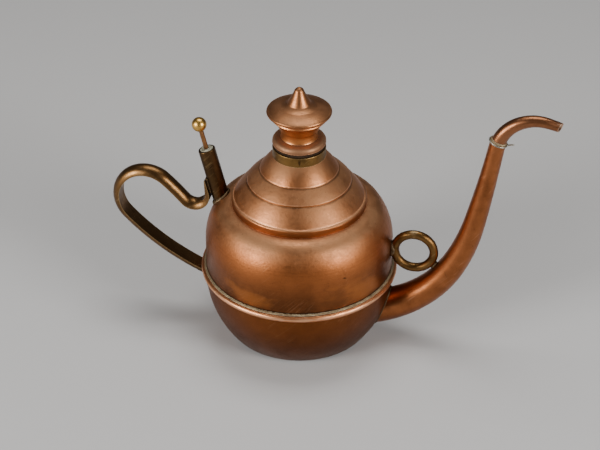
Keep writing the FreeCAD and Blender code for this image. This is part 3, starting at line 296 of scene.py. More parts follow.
class Turning(Effect):
    """Faint rings left on a turned or spun surface, as a tone about one half."""

    name = "turning"
    inputs = (("Scale", "Float", 1600.0),)
    outputs = ("Tone",)
    outward_share = 0.8

    def wire(self, build: Tree, source: object) -> dict[str, bpy.types.NodeSocket]:
        """Read a one-way noise along height and radius together."""
        run = build.place(Unwrapped(), Vector=source["Vector"])
        along = build.maths("ADD", run.outputs["Up"],
                            build.maths("MULTIPLY", run.outputs["Out"],
                                        self.outward_share))
        rings = build.node("TexNoise", noise_dimensions="1D")
        build.feed(rings.inputs["W"], along)
        build.feed(rings.inputs["Scale"], source["Scale"])
        rings.inputs["Detail"].default_value = 3.0
        return {"Tone": rings.outputs[0]}


class Speckle(Effect):
    """Small dark or light specks of uneven size."""

    name = "speckle"
    inputs = (("Scale", "Float", 1100.0), ("Amount", "Float", 0.5))
    patch_scale = 130.0

    def wire(self, build: Tree, source: object) -> dict[str, bpy.types.NodeSocket]:
        """Keep the tops of a fine noise inside the tops of a broad one."""
        specks = build.spread(build.noise(source["Vector"], source["Scale"], 1.0), 0.66, 0.72)
        where = build.spread(build.noise(source["Vector"], self.patch_scale, 2.0),
                             0.42, 0.60)
        kept = build.maths("MULTIPLY", specks, where)
        return {"Mask": build.maths("MULTIPLY", kept, source["Amount"], clamp=True)}


class Band(Effect):
    """A ragged ring at one height, used for painted highlight lines along turned edges, for
    painted shade lines and for a dark line at the seam.
    """

    name = "band"
    inputs = (("Level", "Float", 0.0), ("Width", "Float", 0.0006))
    ragged_scale = 180.0
    narrowest, widest = 0.35, 1.5

    def wire(self, build: Tree, source: object) -> dict[str, bpy.types.NodeSocket]:
        """Fade out with the distance from the level, moved a little by noise."""
        run = build.place(Unwrapped(), Vector=source["Vector"])
        away = build.maths("ABSOLUTE", build.maths("SUBTRACT", run.outputs["Up"],
                                                   source["Level"]))
        ragged = build.maths("MULTIPLY", source["Width"],
                             build.spread(build.noise(source["Vector"], self.ragged_scale,
                                                      3.0),
                                          0.30, 0.70, self.narrowest, self.widest))
        shade = build.maths("SUBTRACT", 1.0, build.maths("DIVIDE", away, ragged), clamp=True)
        return {"Mask": shade}


class Blot(Effect):
    """One soft-edged spot round a point: a stain, a rubbed patch or a painted highlight."""

    name = "blot"
    inputs = (("Centre", "Vector", 0.0), ("Radius", "Float", 0.002), ("Tall", "Float", 1.0))
    ragged_scale = 0.8
    nearest, farthest = 0.50, 1.7
    full_share = 0.20

    def wire(self, build: Tree, source: object) -> dict[str, bpy.types.NodeSocket]:
        """Fade out with the distance from the centre, roughened by noise."""
        away = build.node("VectorMath", operation="SUBTRACT")
        build.feed(away.inputs[0], source["Vector"])
        build.feed(away.inputs[1], source["Centre"])
        parts = build.node("SeparateXYZ")
        build.feed(parts.inputs[0], away.outputs[0])
        squeezed = build.node("CombineXYZ")
        build.feed(squeezed.inputs[0], parts.outputs[0])
        build.feed(squeezed.inputs[1], parts.outputs[1])
        build.feed(squeezed.inputs[2], build.maths("DIVIDE", parts.outputs[2], source["Tall"]))
        reach = build.node("VectorMath", operation="LENGTH")
        build.feed(reach.inputs[0], squeezed.outputs[0])
        scale = build.maths("DIVIDE", self.ragged_scale, source["Radius"])
        ragged = build.noise(squeezed.outputs[0], scale, 3.0, 0.6)
        rough = build.spread(ragged, 0.30, 0.70, self.nearest, self.farthest)
        share = build.maths("DIVIDE", reach.outputs["Value"], source["Radius"])
        return {"Mask": build.spread(build.maths("MULTIPLY", share, rough), 1.0,
                                     self.full_share)}


@dataclass(frozen=True)
class FinishSpot:
    """One spot on a finish: its centre, radius and strength, and its height over its width."""

    centre: tuple[float, float, float]
    radius: float
    strength: float
    tall: float = 1.0


@dataclass(frozen=True)
class Ring:
    """One ragged ring round a finish: its height, its half width and how strong it is."""

    level: float
    width: float
    strength: float


@dataclass(frozen=True)
class Shade:
    """A painted shade that darkens towards the bottom and fades out upwards between two
    heights, and its depth at the lower.
    """

    low: float
    high: float
    depth: float


@dataclass
class Masks:
    """The masks of one metal finish, which its colour, roughness and relief share."""

    raw_cloud: bpy.types.NodeSocket
    cloud: bpy.types.NodeSocket
    grain: bpy.types.NodeSocket
    scratch: bpy.types.NodeSocket
    cross_scratch: bpy.types.NodeSocket
    speck: bpy.types.NodeSocket
    edge: bpy.types.NodeSocket
    hollow: bpy.types.NodeSocket
    film: bpy.types.NodeSocket
    ring_tone: bpy.types.NodeSocket | None = None


class Finish:
    """A look that becomes a material."""

    name: str

    def build(self) -> bpy.types.Material:
        """Return the finish's material, built the first time it is asked for."""
        known = bpy.data.materials.get(self.name)
        if known is not None:
            return known
        material = bpy.data.materials.new(self.name)
        material.use_nodes = True
        material.node_tree.nodes.clear()
        build = Tree(material.node_tree)
        output = build.node("OutputMaterial")
        build.feed(output.inputs["Surface"],
                   self.surface(build, build.node("TexCoord").outputs["Object"]))
        material.diffuse_color = (*self.plain_colour(), 1.0)
        return material

    def surface(self, build: Tree, place: bpy.types.NodeSocket) -> bpy.types.NodeSocket:
        """Add the surface's nodes and return its shader."""
        raise NotImplementedError

    def plain_colour(self) -> Colour:
        """Return the one colour that stands for the finish."""
        raise NotImplementedError


@dataclass(frozen=True)
class Metal(Finish):
    """An aged metal finish: clean metal under patina, with worn edges, and hollows darkened as
    dirt and as painted shade.

    The reaches, the dents and the pitting are lengths. Each scale counts the features in a
    metre, and every other number is a share or a strength.
    """

    name: str
    clean: Colour
    aged: Colour
    # The colour of worn metal, also used for painted highlight lines along edges.
    worn_and_highlight: Colour
    # The dark colour of dirt and specks, also used for painted shade in hollows, low down and
    # in bands.
    dirt_and_shade: Colour = (0.025, 0.014, 0.008)
    smooth: float = 0.30
    rough: float = 0.46
    patina_scale: float = 42.0
    patina_contrast: float = 2.6
    patina_bias: float = 0.0
    wear: float = 0.8
    wear_reach: float = 0.0006
    hollow_reach: float = 0.006
    hollow: float = 0.8
    turning: float = 0.0
    turning_scale: float = 1500.0
    scratch: float = 0.5
    scratch_turn: float = 0.8
    speck: float = 0.5
    dents: float = 0.10 * MM
    dent_scale: float = 55.0
    pitting: float = 0.010 * MM
    metallic: float = 1.0
    painted_highlight_bands: tuple[Ring, ...] = ()
    dark_bands: tuple[Ring, ...] = ()
    stains: tuple[FinishSpot, ...] = ()
    rubbed: tuple[FinishSpot, ...] = ()
    painted_highlights: tuple[FinishSpot, ...] = ()
    painted_highlight_colour: Colour = (0.92, 0.30, 0.060)
    shade: Shade | None = None
    dust: float = 0.0
    dust_colour: Colour = (0.36, 0.225, 0.130)

    def surface(self, build: Tree, place: bpy.types.NodeSocket) -> bpy.types.NodeSocket:
        """Add the metal's nodes and return its shader."""
        masks = self._masks(build, place)
        shader = build.node("BsdfPrincipled")
        build.feed(shader.inputs["Base Color"], self._colour(build, place, masks))
        build.feed(shader.inputs["Roughness"], self._roughness(build, masks))
        build.feed(shader.inputs["Metallic"], self.metallic)
        build.feed(shader.inputs["Normal"], self._relief(build, place, masks))
        return shader.outputs[0]

    def plain_colour(self) -> Colour:
        """Return the clean metal's colour."""
        return self.clean

    def _masks(self, build: Tree, place: bpy.types.NodeSocket) -> Masks:
        """Add the masks of the patina, the scratches, the worn edges and the dirt."""
        patina = build.place(Patina(), Vector=place, Scale=self.patina_scale,
                             Contrast=self.patina_contrast)
        raw_cloud, grain = patina.outputs["Cloud"], patina.outputs["Grain"]
        cloud = build.maths("ADD", raw_cloud, self.patina_bias, clamp=True)
        scratch = build.place(Scratches(), Vector=place, Turn=self.scratch_turn,
                              Amount=self.scratch)
        crossing = build.place(Scratches(), Vector=place, Turn=self.scratch_turn + CROSS_TURN,
                               Scale=CROSS_SCALE, Amount=self.scratch)
        speck = build.place(Speckle(), Vector=place, Amount=self.speck)
        masks = Masks(raw_cloud, cloud, grain, scratch.outputs["Mask"],
                      crossing.outputs["Mask"], speck.outputs["Mask"],
                      self._edge_wear(build, grain), self._hollows(build, cloud),
                      self._film(build, raw_cloud))
        if self.turning > 0:
            masks.ring_tone = build.place(Turning(), Vector=place,
                                          Scale=self.turning_scale).outputs["Tone"]
        return masks

    def _colour(self, build: Tree, place: bpy.types.NodeSocket,
                masks: Masks) -> bpy.types.NodeSocket:
        """Lay the patina, painted shade and highlights, dust, scratches, bands, spots, wear
        and dirt over the clean metal.
        """
        colour = build.blend(masks.cloud, self.clean, self.aged)
        tint = build.maths("MULTIPLY", build.maths("SUBTRACT", masks.grain, 0.5), GRAIN_TINT)
        colour = build.blend(build.maths("ABSOLUTE", tint), colour, self.aged)
        if masks.ring_tone is not None:
            share = build.maths("MULTIPLY", build.spread(masks.ring_tone, *RING_TONES),
                                RING_TINT * self.turning)
            colour = build.blend(share, colour, self.aged)
        # Painted shade: darker towards the bottom, for the darker reflection of the floor
        # there.
        if self.shade is not None:
            run = build.place(Unwrapped(), Vector=place)
            share = build.spread(run.outputs["Up"], self.shade.low, self.shade.high,
                                 self.shade.depth, 0.0)
            uneven = build.spread(masks.cloud, 0.0, 1.0, 0.8, 1.2)
            colour = build.blend(build.maths("MULTIPLY", share, uneven), colour, self.dirt_and_shade)
        colour = build.blend(build.maths("MULTIPLY", masks.film, self.dust), colour,
                             self.dust_colour)
        colour = build.blend(build.maths("MULTIPLY", masks.cross_scratch, CROSS_TINT), colour,
                             self.dirt_and_shade)
        colour = build.blend(build.maths("MULTIPLY", masks.scratch, SCRATCH_TINT), colour,
                             self.worn_and_highlight)
        # The bright bands are painted highlight lines along turned edges, in the worn colour.
        colour = self._ringed(build, place, colour, self.painted_highlight_bands, self.worn_and_highlight)
        colour = build.blend(masks.edge, colour, self.worn_and_highlight)
        # The dark bands are painted shade on a riser and below step edges, and a dark line at
        # the seam.
        colour = self._ringed(build, place, colour, self.dark_bands, self.dirt_and_shade)
        # The warm spots are painted highlights; the other spots are stains and rubbed wear.
        for spots, tone in ((self.stains, self.dirt_and_shade), (self.painted_highlights, self.painted_highlight_colour),
                            (self.rubbed, self.worn_and_highlight)):
            for spot in spots:
                colour = build.blend(self._spot(build, place, spot), colour, tone)
        # Corners found by ambient occlusion take the dark colour: dirt, and painted shade.
        colour = build.blend(masks.hollow, colour, self.dirt_and_shade)
        return build.blend(build.maths("MULTIPLY", masks.speck, SPECK_TINT), colour, self.dirt_and_shade)

    def _ringed(self, build: Tree, place: bpy.types.NodeSocket, colour: bpy.types.NodeSocket,
                rings: tuple[Ring, ...], tone: Colour) -> bpy.types.NodeSocket:
        """Lay ragged rings of one tone over a colour."""
        for ring in rings:
            band = build.place(Band(), Vector=place, Level=ring.level, Width=ring.width)
            share = build.maths("MULTIPLY", band.outputs["Mask"], ring.strength)
            colour = build.blend(share, colour, tone)
        return colour

    def _roughness(self, build: Tree, masks: Masks) -> bpy.types.NodeSocket:
        """Roughen the patina, the grain, the hollows, the film and the scratches."""
        roughness = build.spread(masks.cloud, 0.0, 1.0, self.smooth, self.rough)
        for mask, amount in ((masks.grain, GRAIN_DULLING), (masks.hollow, HOLLOW_DULLING),
                             (masks.film, FILM_DULLING * self.dust)):
            roughness = build.maths("ADD", roughness, build.maths("MULTIPLY", mask, amount))
        return build.maths("ADD", roughness,
                           build.maths("MULTIPLY", masks.scratch, SCRATCH_DULLING), clamp=True)

    def _spot(self, build: Tree, place: bpy.types.NodeSocket,
              spot: FinishSpot) -> bpy.types.NodeSocket:
        """Mask of one spot, at its strength."""
        blot = build.place(Blot(), Vector=place, Centre=spot.centre, Radius=spot.radius,
                           Tall=spot.tall)
        return build.maths("MULTIPLY", blot.outputs["Mask"], spot.strength)

    def _film(self, build: Tree, cloud: bpy.types.NodeSocket) -> bpy.types.NodeSocket:
        """Mask of the faces that look up, where a dull film settles unevenly."""
        parts = build.node("SeparateXYZ")
        build.feed(parts.inputs[0], build.node("TexCoord").outputs["Normal"])
        upward = build.spread(parts.outputs[2], *FILM_SLOPES)
        return build.maths("MULTIPLY", upward, build.spread(cloud, 0.1, 0.9, 0.6, 1.0))

    def _edge_wear(self, build: Tree, grain: bpy.types.NodeSocket) -> bpy.types.NodeSocket:
        """Mask of the edges where handling has rubbed the patina off."""
        bevel = build.node("Bevel", samples=6)
        bevel.inputs["Radius"].default_value = self.wear_reach
        facing = build.node("VectorMath", operation="DOT_PRODUCT")
        build.feed(facing.inputs[0], bevel.outputs[0])
        build.feed(facing.inputs[1], build.node("NewGeometry").outputs["Normal"])
        bend = build.spread(facing.outputs["Value"], *EDGE_BENDS)
        broken = build.maths("MULTIPLY", bend, build.spread(grain, 0.0, 0.6, 0.35, 1.0))
        return build.maths("MULTIPLY", broken, self.wear, clamp=True)

    def _hollows(self, build: Tree, cloud: bpy.types.NodeSocket) -> bpy.types.NodeSocket:
        """Mask of the corners found by ambient occlusion, darkened as dirt and as painted
        shade.
        """
        shelter = build.node("AmbientOcclusion", samples=8)
        shelter.inputs["Distance"].default_value = self.hollow_reach
        dark = build.spread(shelter.outputs["AO"], *HOLLOW_VIEWS)
        uneven = build.maths("MULTIPLY", dark, build.spread(cloud, 0.0, 1.0, 0.65, 1.0))
        return build.maths("MULTIPLY", uneven, self.hollow, clamp=True)

    def _relief(self, build: Tree, place: bpy.types.NodeSocket,
                masks: Masks) -> bpy.types.NodeSocket:
        """Normal of the dented, pitted and scratched surface, from heights in metres."""
        broad = build.noise(place, self.dent_scale, 2.0, 0.4)
        height = build.maths("MULTIPLY", broad, self.dents)
        height = build.maths("ADD", height,
                             build.maths("MULTIPLY", masks.grain, self.pitting))
        for mask, depth in ((masks.scratch, SCRATCH_DEPTH), (masks.speck, SPECK_DEPTH)):
            height = build.maths("SUBTRACT", height, build.maths("MULTIPLY", mask, depth))
        if masks.ring_tone is not None:
            height = build.maths("ADD", height,
                                 build.maths("MULTIPLY", masks.ring_tone,
                                             RING_DEPTH * self.turning))
        return build.bump(height)


@dataclass(frozen=True)
class Soft(Finish):
    """A dull finish with no metal in it, such as leather, cord packing or a plain floor."""

    name: str
    light: Colour
    dark: Colour
    scale: float = 300.0
    contrast: float = 3.0
    roughness: float = 0.8
    relief: float = 0.05 * MM
    gloss: float = 0.5

    def surface(self, build: Tree, place: bpy.types.NodeSocket) -> bpy.types.NodeSocket:
        """Add the dull surface's nodes and return its shader."""
        patina = build.place(Patina(), Vector=place, Scale=self.scale, Contrast=self.contrast)
        height = build.maths("MULTIPLY", patina.outputs["Grain"], self.relief)
        shader = build.node("BsdfPrincipled")
        build.feed(shader.inputs["Base Color"],
                   build.blend(patina.outputs["Cloud"], self.light, self.dark))
        build.feed(shader.inputs["Roughness"], self.roughness)
        build.feed(shader.inputs["Specular IOR Level"], self.gloss)
        build.feed(shader.inputs["Normal"], build.bump(height))
        return shader.outputs[0]

    def plain_colour(self) -> Colour:
        """Return the lighter of the two colours."""
        return self.light


# ------------------------------------------------------------------ the can's finishes

# Worn copper, also the colour of the painted highlight lines on the body and the bowl.
COPPER_WORN_AND_HIGHLIGHT: Colour = (0.84, 0.42, 0.22)
BRASS_WORN: Colour = (0.66, 0.46, 0.22)

# The body's shade darkens the lower wall as painted shade, for the darker reflection of the
# floor there.
BODY_COPPER = Metal(
    "body_copper_finish", clean=(0.43, 0.140, 0.043), aged=(0.26, 0.080, 0.024),
    worn_and_highlight=COPPER_WORN_AND_HIGHLIGHT, smooth=0.30, rough=0.44, turning=0.8, wear_reach=0.0008,
    scratch=0.28, patina_scale=30.0, speck=0.45, shade=Shade(0.041, 0.072, 0.62), dust=0.75,
    wear=0.55, pitting=0.022 * MM, dust_colour=(0.42, 0.235, 0.120),
    # The two warm spots above the seam, left and right, are painted highlights.
    painted_highlights=(FinishSpot((-0.0173, -0.0478, 0.0470), 0.0200, 0.20, 0.42),
          FinishSpot((0.0415, -0.0291, 0.0480), 0.0220, 0.24, 0.50)),
    # The bright bands are painted highlight lines at the step edges.
    painted_highlight_bands=(Ring(0.0850, 0.0006, 0.35), Ring(0.0950, 0.0003, 0.55),
                  Ring(0.1018, 0.0003, 0.55)),
    # The dark bands on the riser (0.0826) and below the step edges (0.0940, 0.1011) are
    # painted shade; the one at 0.0427 darkens a line at the seam.
    dark_bands=(Ring(0.0427, 0.0008, 0.60), Ring(0.0826, 0.0026, 0.30),
                Ring(0.0940, 0.0006, 0.65), Ring(0.1011, 0.0005, 0.60)),
    stains=(FinishSpot((0.0327, -0.0389, 0.0612), 0.0011, 0.85),
            FinishSpot((0.0059, -0.0161, 0.1080), 0.0007, 0.60, 3.2),
            FinishSpot((0.0078, -0.0158, 0.1075), 0.0005, 0.70, 4.0),
            FinishSpot((0.0090, -0.0160, 0.1060), 0.0006, 0.60, 3.0),
            FinishSpot((0.0176, -0.0244, 0.0905), 0.0007, 0.70)))
# The bowl's copper is a darker copy of the body's, and its shade darkens it further towards
# the bottom: painted shade for the darker reflection of the floor.
BOWL_SHADED_COPPER = Metal(
    "bowl_shaded_copper_finish", clean=(0.225, 0.069, 0.018), aged=(0.125, 0.037, 0.010),
    worn_and_highlight=COPPER_WORN_AND_HIGHLIGHT, smooth=0.32, rough=0.46, turning=0.6, wear_reach=0.0007,
    scratch=0.25, patina_scale=34.0, shade=Shade(0.004, 0.034, 0.35), pitting=0.018 * MM,
    # The bright band at the foot is a painted highlight.
    painted_highlight_bands=(Ring(0.0008, 0.0009, 0.5),))
BEAD_COPPER = Metal(
    "bead_copper_finish", clean=(0.80, 0.340, 0.150), aged=(0.48, 0.185, 0.076),
    worn_and_highlight=(0.90, 0.55, 0.34), smooth=0.28, rough=0.40, turning=0.2, patina_scale=90.0,
    # The bright band along the bead's top is a painted highlight.
    painted_highlight_bands=(Ring(0.0400, 0.0010, 0.60),))
SPOUT_COPPER = Metal(
    "spout_copper_finish", clean=(0.42, 0.146, 0.052), aged=(0.22, 0.073, 0.025),
    worn_and_highlight=COPPER_WORN_AND_HIGHLIGHT, smooth=0.27, rough=0.40, patina_scale=55.0, scratch=0.55,
    dents=0.06 * MM, dent_scale=80.0)
TIP_COPPER = Metal(
    "tip_copper_finish", clean=(0.34, 0.138, 0.062), aged=(0.175, 0.068, 0.030),
    worn_and_highlight=(0.92, 0.62, 0.42), smooth=0.28, rough=0.40, patina_scale=120.0,
    scratch=0.4, dents=0.04 * MM, dent_scale=130.0, wear=1.0, wear_reach=0.0005,
    rubbed=(FinishSpot((0.1352, 0.0, 0.1431), 0.0030, 0.85),))
CAP_COPPER = Metal(
    "cap_copper_finish", clean=(0.44, 0.175, 0.068), aged=(0.26, 0.100, 0.038),
    worn_and_highlight=COPPER_WORN_AND_HIGHLIGHT, smooth=0.30, rough=0.44, turning=0.9, turning_scale=2200.0,
    patina_scale=75.0, dents=0.05 * MM, dust=0.3)
SKIRT_COPPER = Metal(
    "skirt_copper_finish", clean=(0.40, 0.200, 0.102), aged=(0.23, 0.112, 0.057),
    worn_and_highlight=COPPER_WORN_AND_HIGHLIGHT, smooth=0.46, rough=0.60, turning=0.9, turning_scale=2200.0,
    patina_scale=75.0, dents=0.05 * MM, dust=0.4)
KNOB_COPPER = Metal(
    "knob_copper_finish", clean=(0.76, 0.300, 0.090), aged=(0.46, 0.165, 0.048),
    worn_and_highlight=COPPER_WORN_AND_HIGHLIGHT, smooth=0.26, rough=0.40, turning=0.8, patina_scale=85.0,
    dents=0.04 * MM, hollow=0.55)
NECK_BRASS = Metal(
    "neck_brass_finish", clean=(0.265, 0.145, 0.043), aged=(0.100, 0.056, 0.018),
    worn_and_highlight=BRASS_WORN, smooth=0.28, rough=0.46, patina_scale=110.0, turning=0.5,
    dents=0.04 * MM, stains=(FinishSpot((0.0030, -0.0139, 0.1125), 0.0008, 0.75, 4.0),))
HANDLE_BRASS = Metal(
    "handle_brass_finish", clean=(0.215, 0.110, 0.040), aged=(0.088, 0.044, 0.016),
    worn_and_highlight=BRASS_WORN, dirt_and_shade=(0.014, 0.008, 0.004), smooth=0.27, rough=0.44,
    patina_scale=70.0, scratch=0.7, speck=0.5, dents=0.10 * MM, dent_scale=150.0,
    wear_reach=0.0009, wear=0.5)
RING_BRASS = Metal(
    "ring_brass_finish", clean=(0.225, 0.115, 0.037), aged=(0.095, 0.047, 0.015),
    worn_and_highlight=(0.60, 0.43, 0.23), dirt_and_shade=(0.013, 0.008, 0.004), smooth=0.28, rough=0.46,
    patina_scale=95.0, speck=0.6, dents=0.06 * MM, dent_scale=160.0,
    rubbed=(FinishSpot((0.0625, -0.0010, 0.0690), 0.0030, 0.30),))
TUBE_BRASS = Metal(
    "tube_brass_finish", clean=(0.120, 0.064, 0.024), aged=(0.040, 0.021, 0.009),
    worn_and_highlight=(0.40, 0.26, 0.12), dirt_and_shade=(0.009, 0.006, 0.004), smooth=0.26, rough=0.44,
    patina_scale=90.0, wear=0.6, wear_reach=0.0004, scratch=0.7)
BALL_BRASS = Metal(
    "ball_brass_finish", clean=(0.76, 0.46, 0.115), aged=(0.46, 0.25, 0.058),
    worn_and_highlight=(0.88, 0.66, 0.30), smooth=0.25, rough=0.38, patina_scale=150.0,
    patina_contrast=2.0, patina_bias=-0.05, scratch=0.5, speck=0.5, dents=0.015 * MM,
    dent_scale=200.0, hollow=0.4)
FITTING_BRASS = Metal(
    "fitting_brass_finish", clean=(0.60, 0.40, 0.13), aged=(0.36, 0.22, 0.075),
    worn_and_highlight=BRASS_WORN, smooth=0.22, rough=0.36, turning=0.8, turning_scale=3200.0,
    patina_scale=120.0, dents=0.0)
ROD_STEEL = Metal(
    "rod_finish", clean=(0.36, 0.170, 0.065), aged=(0.150, 0.066, 0.026),
    worn_and_highlight=(0.55, 0.36, 0.20), smooth=0.28, rough=0.44, patina_scale=220.0, dents=0.01 * MM)
WIRE_STEEL = Metal(
    "wire_finish", clean=(0.42, 0.385, 0.310), aged=(0.18, 0.150, 0.105),
    worn_and_highlight=(0.62, 0.60, 0.54), smooth=0.28, rough=0.50, patina_scale=260.0,
    dents=0.01 * MM, hollow=0.5)
SOLDER = Metal(
    "solder_finish", clean=(0.34, 0.262, 0.150), aged=(0.165, 0.108, 0.054),
    worn_and_highlight=(0.60, 0.51, 0.37), dirt_and_shade=(0.030, 0.021, 0.011), smooth=0.44, rough=0.66,
    patina_scale=170.0, patina_contrast=3.2, speck=0.8, dents=0.05 * MM, dent_scale=420.0,
    pitting=0.03 * MM, wear=0.4, metallic=0.85)
OLD_SOLDER = Metal(
    "old_solder_finish", clean=(0.170, 0.112, 0.056), aged=(0.075, 0.043, 0.020),
    worn_and_highlight=(0.42, 0.33, 0.20), dirt_and_shade=(0.014, 0.009, 0.005), smooth=0.42, rough=0.62,
    patina_scale=190.0, patina_contrast=3.2, speck=0.7, dents=0.05 * MM, dent_scale=420.0,
    pitting=0.03 * MM, wear=0.35, metallic=0.85)
LEATHER = Soft("leather_finish", light=(0.060, 0.032, 0.015), dark=(0.016, 0.009, 0.005),
               scale=380.0, roughness=0.85, relief=0.10 * MM, gloss=0.15)
PACKING = Soft("packing_finish", light=(0.60, 0.60, 0.46), dark=(0.22, 0.19, 0.12),
               scale=420.0, roughness=0.95, relief=0.18 * MM)
FLOOR = Soft("floor_finish", light=(0.50, 0.49, 0.48), dark=(0.48, 0.47, 0.46),
             scale=6.0, contrast=1.0, roughness=0.75, relief=0.0)


# ------------------------------------------------------------------ mesh work


def node_radii(node: bpy.types.Object) -> tuple[float, float]:
    """Return the smallest and largest distance of a node's vertices from the can's axis."""
    radii = [math.hypot(v.co.x, v.co.y) for v in node.data.vertices]
    return min(radii), max(radii)


def wear_in(node: bpy.types.Object, name: str, grid: float, lumps: float,
            lump_size: float) -> bpy.types.Object:
    """Make a lumpy, hand-worked copy of a CAD node.

    Args:
        node: the CAD node's object, which stays as it is.
        name: the new piece's name.
        grid: the size of the new mesh's quads.
        lumps: how far the surface moves in or out at most.
        lump_size: the distance between lumps.

    Returns:
        The new piece, in the place of the node.
    """
    piece = bpy.data.objects.new(name, node.data.copy())
    bpy.context.scene.collection.objects.link(piece)
    remesh = piece.modifiers.new("grid", "REMESH")
    remesh.mode = "VOXEL"
    remesh.voxel_size = grid
    smooth = piece.modifiers.new("settle", "SMOOTH")
    smooth.factor = SETTLE_FACTOR
    smooth.iterations = SETTLE_ROUNDS
    view = bpy.context.evaluated_depsgraph_get()
    mesh = bpy.data.meshes.new_from_object(piece.evaluated_get(view))
    piece.modifiers.clear()
    piece.data = mesh
    moved = []
    for vertex in mesh.vertices:
        spot = vertex.co / lump_size
        swell = (noise.noise(spot) * BROAD_SHARE
                 + noise.noise(spot * FINE_LUMPS) * FINE_SHARE)
        moved.append(vertex.co + vertex.normal * swell * lumps)
    for vertex, place in zip(mesh.vertices, moved):
        vertex.co = place
    mesh.shade_smooth()
    mesh.update()
    return piece


def finish_node(node: str, finish: Finish) -> None:
    """Give a CAD node that stays in view its finish."""
    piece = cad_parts[node]
    material = finish.build()
    if not piece.material_slots:
        piece.data.materials.append(material)
    for slot in piece.material_slots:
        slot.material = material
    LOG.info("%s keeps its CAD mesh, with %s", node, finish.name)


def stand_in(piece: bpy.types.Object, node: str, body: Body,
             finish: Finish) -> None:
    """Put a detailed piece in the place of a CAD node.

    Args:
        piece: the detailed piece.
        node: the CAD node that it replaces.
        body: the body that it rides on.
        finish: its finish.
    """
    piece.data.materials.clear()
    piece.data.materials.append(finish.build())
    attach(piece, body.value)
    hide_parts(node)
    LOG.info("%s replaces %s: %d faces, %s", piece.name, node, len(piece.data.polygons),
             finish.name)


@dataclass(frozen=True)
class Lumpy:
    """A hand-worked piece of the can: its CAD node, name, slot, finish, quads and lumps."""

    node: str
    name: str
    slot: str
    finish: Finish
    grid: float
    lumps: float
    lump_size: float

    def build(self) -> None:
        """Put a lumpy copy of the CAD node in its place."""
        piece = wear_in(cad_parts[self.node], self.name, self.grid, self.lumps,
                        self.lump_size)
        stand_in(piece, self.node, Body.CAN, self.finish)


@dataclass
class Can:
    """The two copper shells, the bead between them and the solder on it."""

    solder: Lumpy = Lumpy("seam_solder", "seam_solder_run", "solder", SOLDER,
                          grid=0.30 * MM, lumps=0.28 * MM, lump_size=2.4 * MM)

    def build(self) -> None:
        """Dress the shells and roughen the solder."""
        finish_node("upper_body", BODY_COPPER)
        finish_node("lower_bowl", BOWL_SHADED_COPPER)
        finish_node("seam_bead", BEAD_COPPER)
        self.solder.build()


@dataclass
class Cap:
    """The filler neck, the leather washer and the screw cap with its pointed knob."""

    washer_steps: int = 240
    washer_rows: int = 6
    washer_fray: float = 0.35 * MM
    washer_bulge: float = 0.12 * MM
    fray_scales: tuple[float, float] = (4.0, 17.0)
    fine_fray: float = 0.6
    rough_round: float = 9.0
    rough_up: float = 3.0

    def build(self) -> None:
        """Dress the cap and cut a frayed washer."""
        finish_node("neck_ring", NECK_BRASS)
        finish_node("cap_plug", FITTING_BRASS)
        finish_node("cap_skirt", SKIRT_COPPER)
        finish_node("cap_knob_lower", KNOB_COPPER)
        finish_node("cap_knob_top", CAP_COPPER)
        stand_in(self._washer(), "cap_washer", Body.WASHER, LEATHER)

    def _washer(self) -> bpy.types.Object:
        """Return a leather ring whose outer edge is cut unevenly."""
        radii = node_radii(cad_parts["cap_washer"])
        low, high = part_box("cap_washer")
        work = bmesh.new()
        loops = []
        for step in range(self.washer_steps):
            angle = 2 * math.pi * step / self.washer_steps
            way = Vector((math.cos(angle), math.sin(angle), 0.0))
            section = self._washer_section(way, radii, (low.z, high.z))
            loops.append([work.verts.new(place) for place in section])
        count = len(loops[0])
        for step, ring in enumerate(loops):
            following = loops[(step + 1) % self.washer_steps]
            for row in range(count):
                after = (row + 1) % count
                work.faces.new((ring[row], following[row], following[after], ring[after]))
        bmesh.ops.recalc_face_normals(work, faces=work.faces)
        mesh = bpy.data.meshes.new("washer_leather_ring")
        work.to_mesh(mesh)
        work.free()
        piece = bpy.data.objects.new("washer_leather_ring", mesh)
        bpy.context.scene.collection.objects.link(piece)
        return piece

    def _washer_section(self, way: Vector, radii: tuple[float, float],
                        heights: tuple[float, float]) -> list[Vector]:
        """Return the corners of the washer's section in one direction from the axis."""
        inner, outer = radii
        low, high = heights
        broad, fine = self.fray_scales
        fray = noise.noise(way * broad) + self.fine_fray * noise.noise(way * fine)
        edge = outer - abs(fray) * self.washer_fray
        corners = [way * inner + Vector((0, 0, high)), way * inner + Vector((0, 0, low))]
        for row in range(self.washer_rows + 1):
            share = row / self.washer_rows
            rough = noise.noise(Vector((way.x * self.rough_round, way.y * self.rough_round,
                                        share * self.rough_up)))
            swell = (math.sin(math.pi * share) + rough) * self.washer_bulge
            height = low + (high - low) * share
            corners.append(way * (edge - self.washer_bulge + swell) + Vector((0, 0, height)))
        return corners


@dataclass
class Spout:
    """The tapered spout, its bent tip, their solder and the wire tied round the joint."""

    rough: tuple[Lumpy, ...] = (
        Lumpy("spout_root_solder", "spout_root_fillet", "solder", OLD_SOLDER,
              grid=0.16 * MM, lumps=0.16 * MM, lump_size=1.8 * MM),
        Lumpy("spout_joint_solder", "spout_joint_fillet", "solder", SOLDER,
              grid=0.14 * MM, lumps=0.14 * MM, lump_size=1.1 * MM),
        Lumpy("spout_wire_tie", "spout_wire", "tie_wire", WIRE_STEEL,
              grid=0.14 * MM, lumps=0.10 * MM, lump_size=0.9 * MM))

    def build(self) -> None:
        """Dress the tubes and roughen the solder and the wire."""
        finish_node("spout_tube", SPOUT_COPPER)
        finish_node("spout_tip", TIP_COPPER)
        for piece in self.rough:
            piece.build()


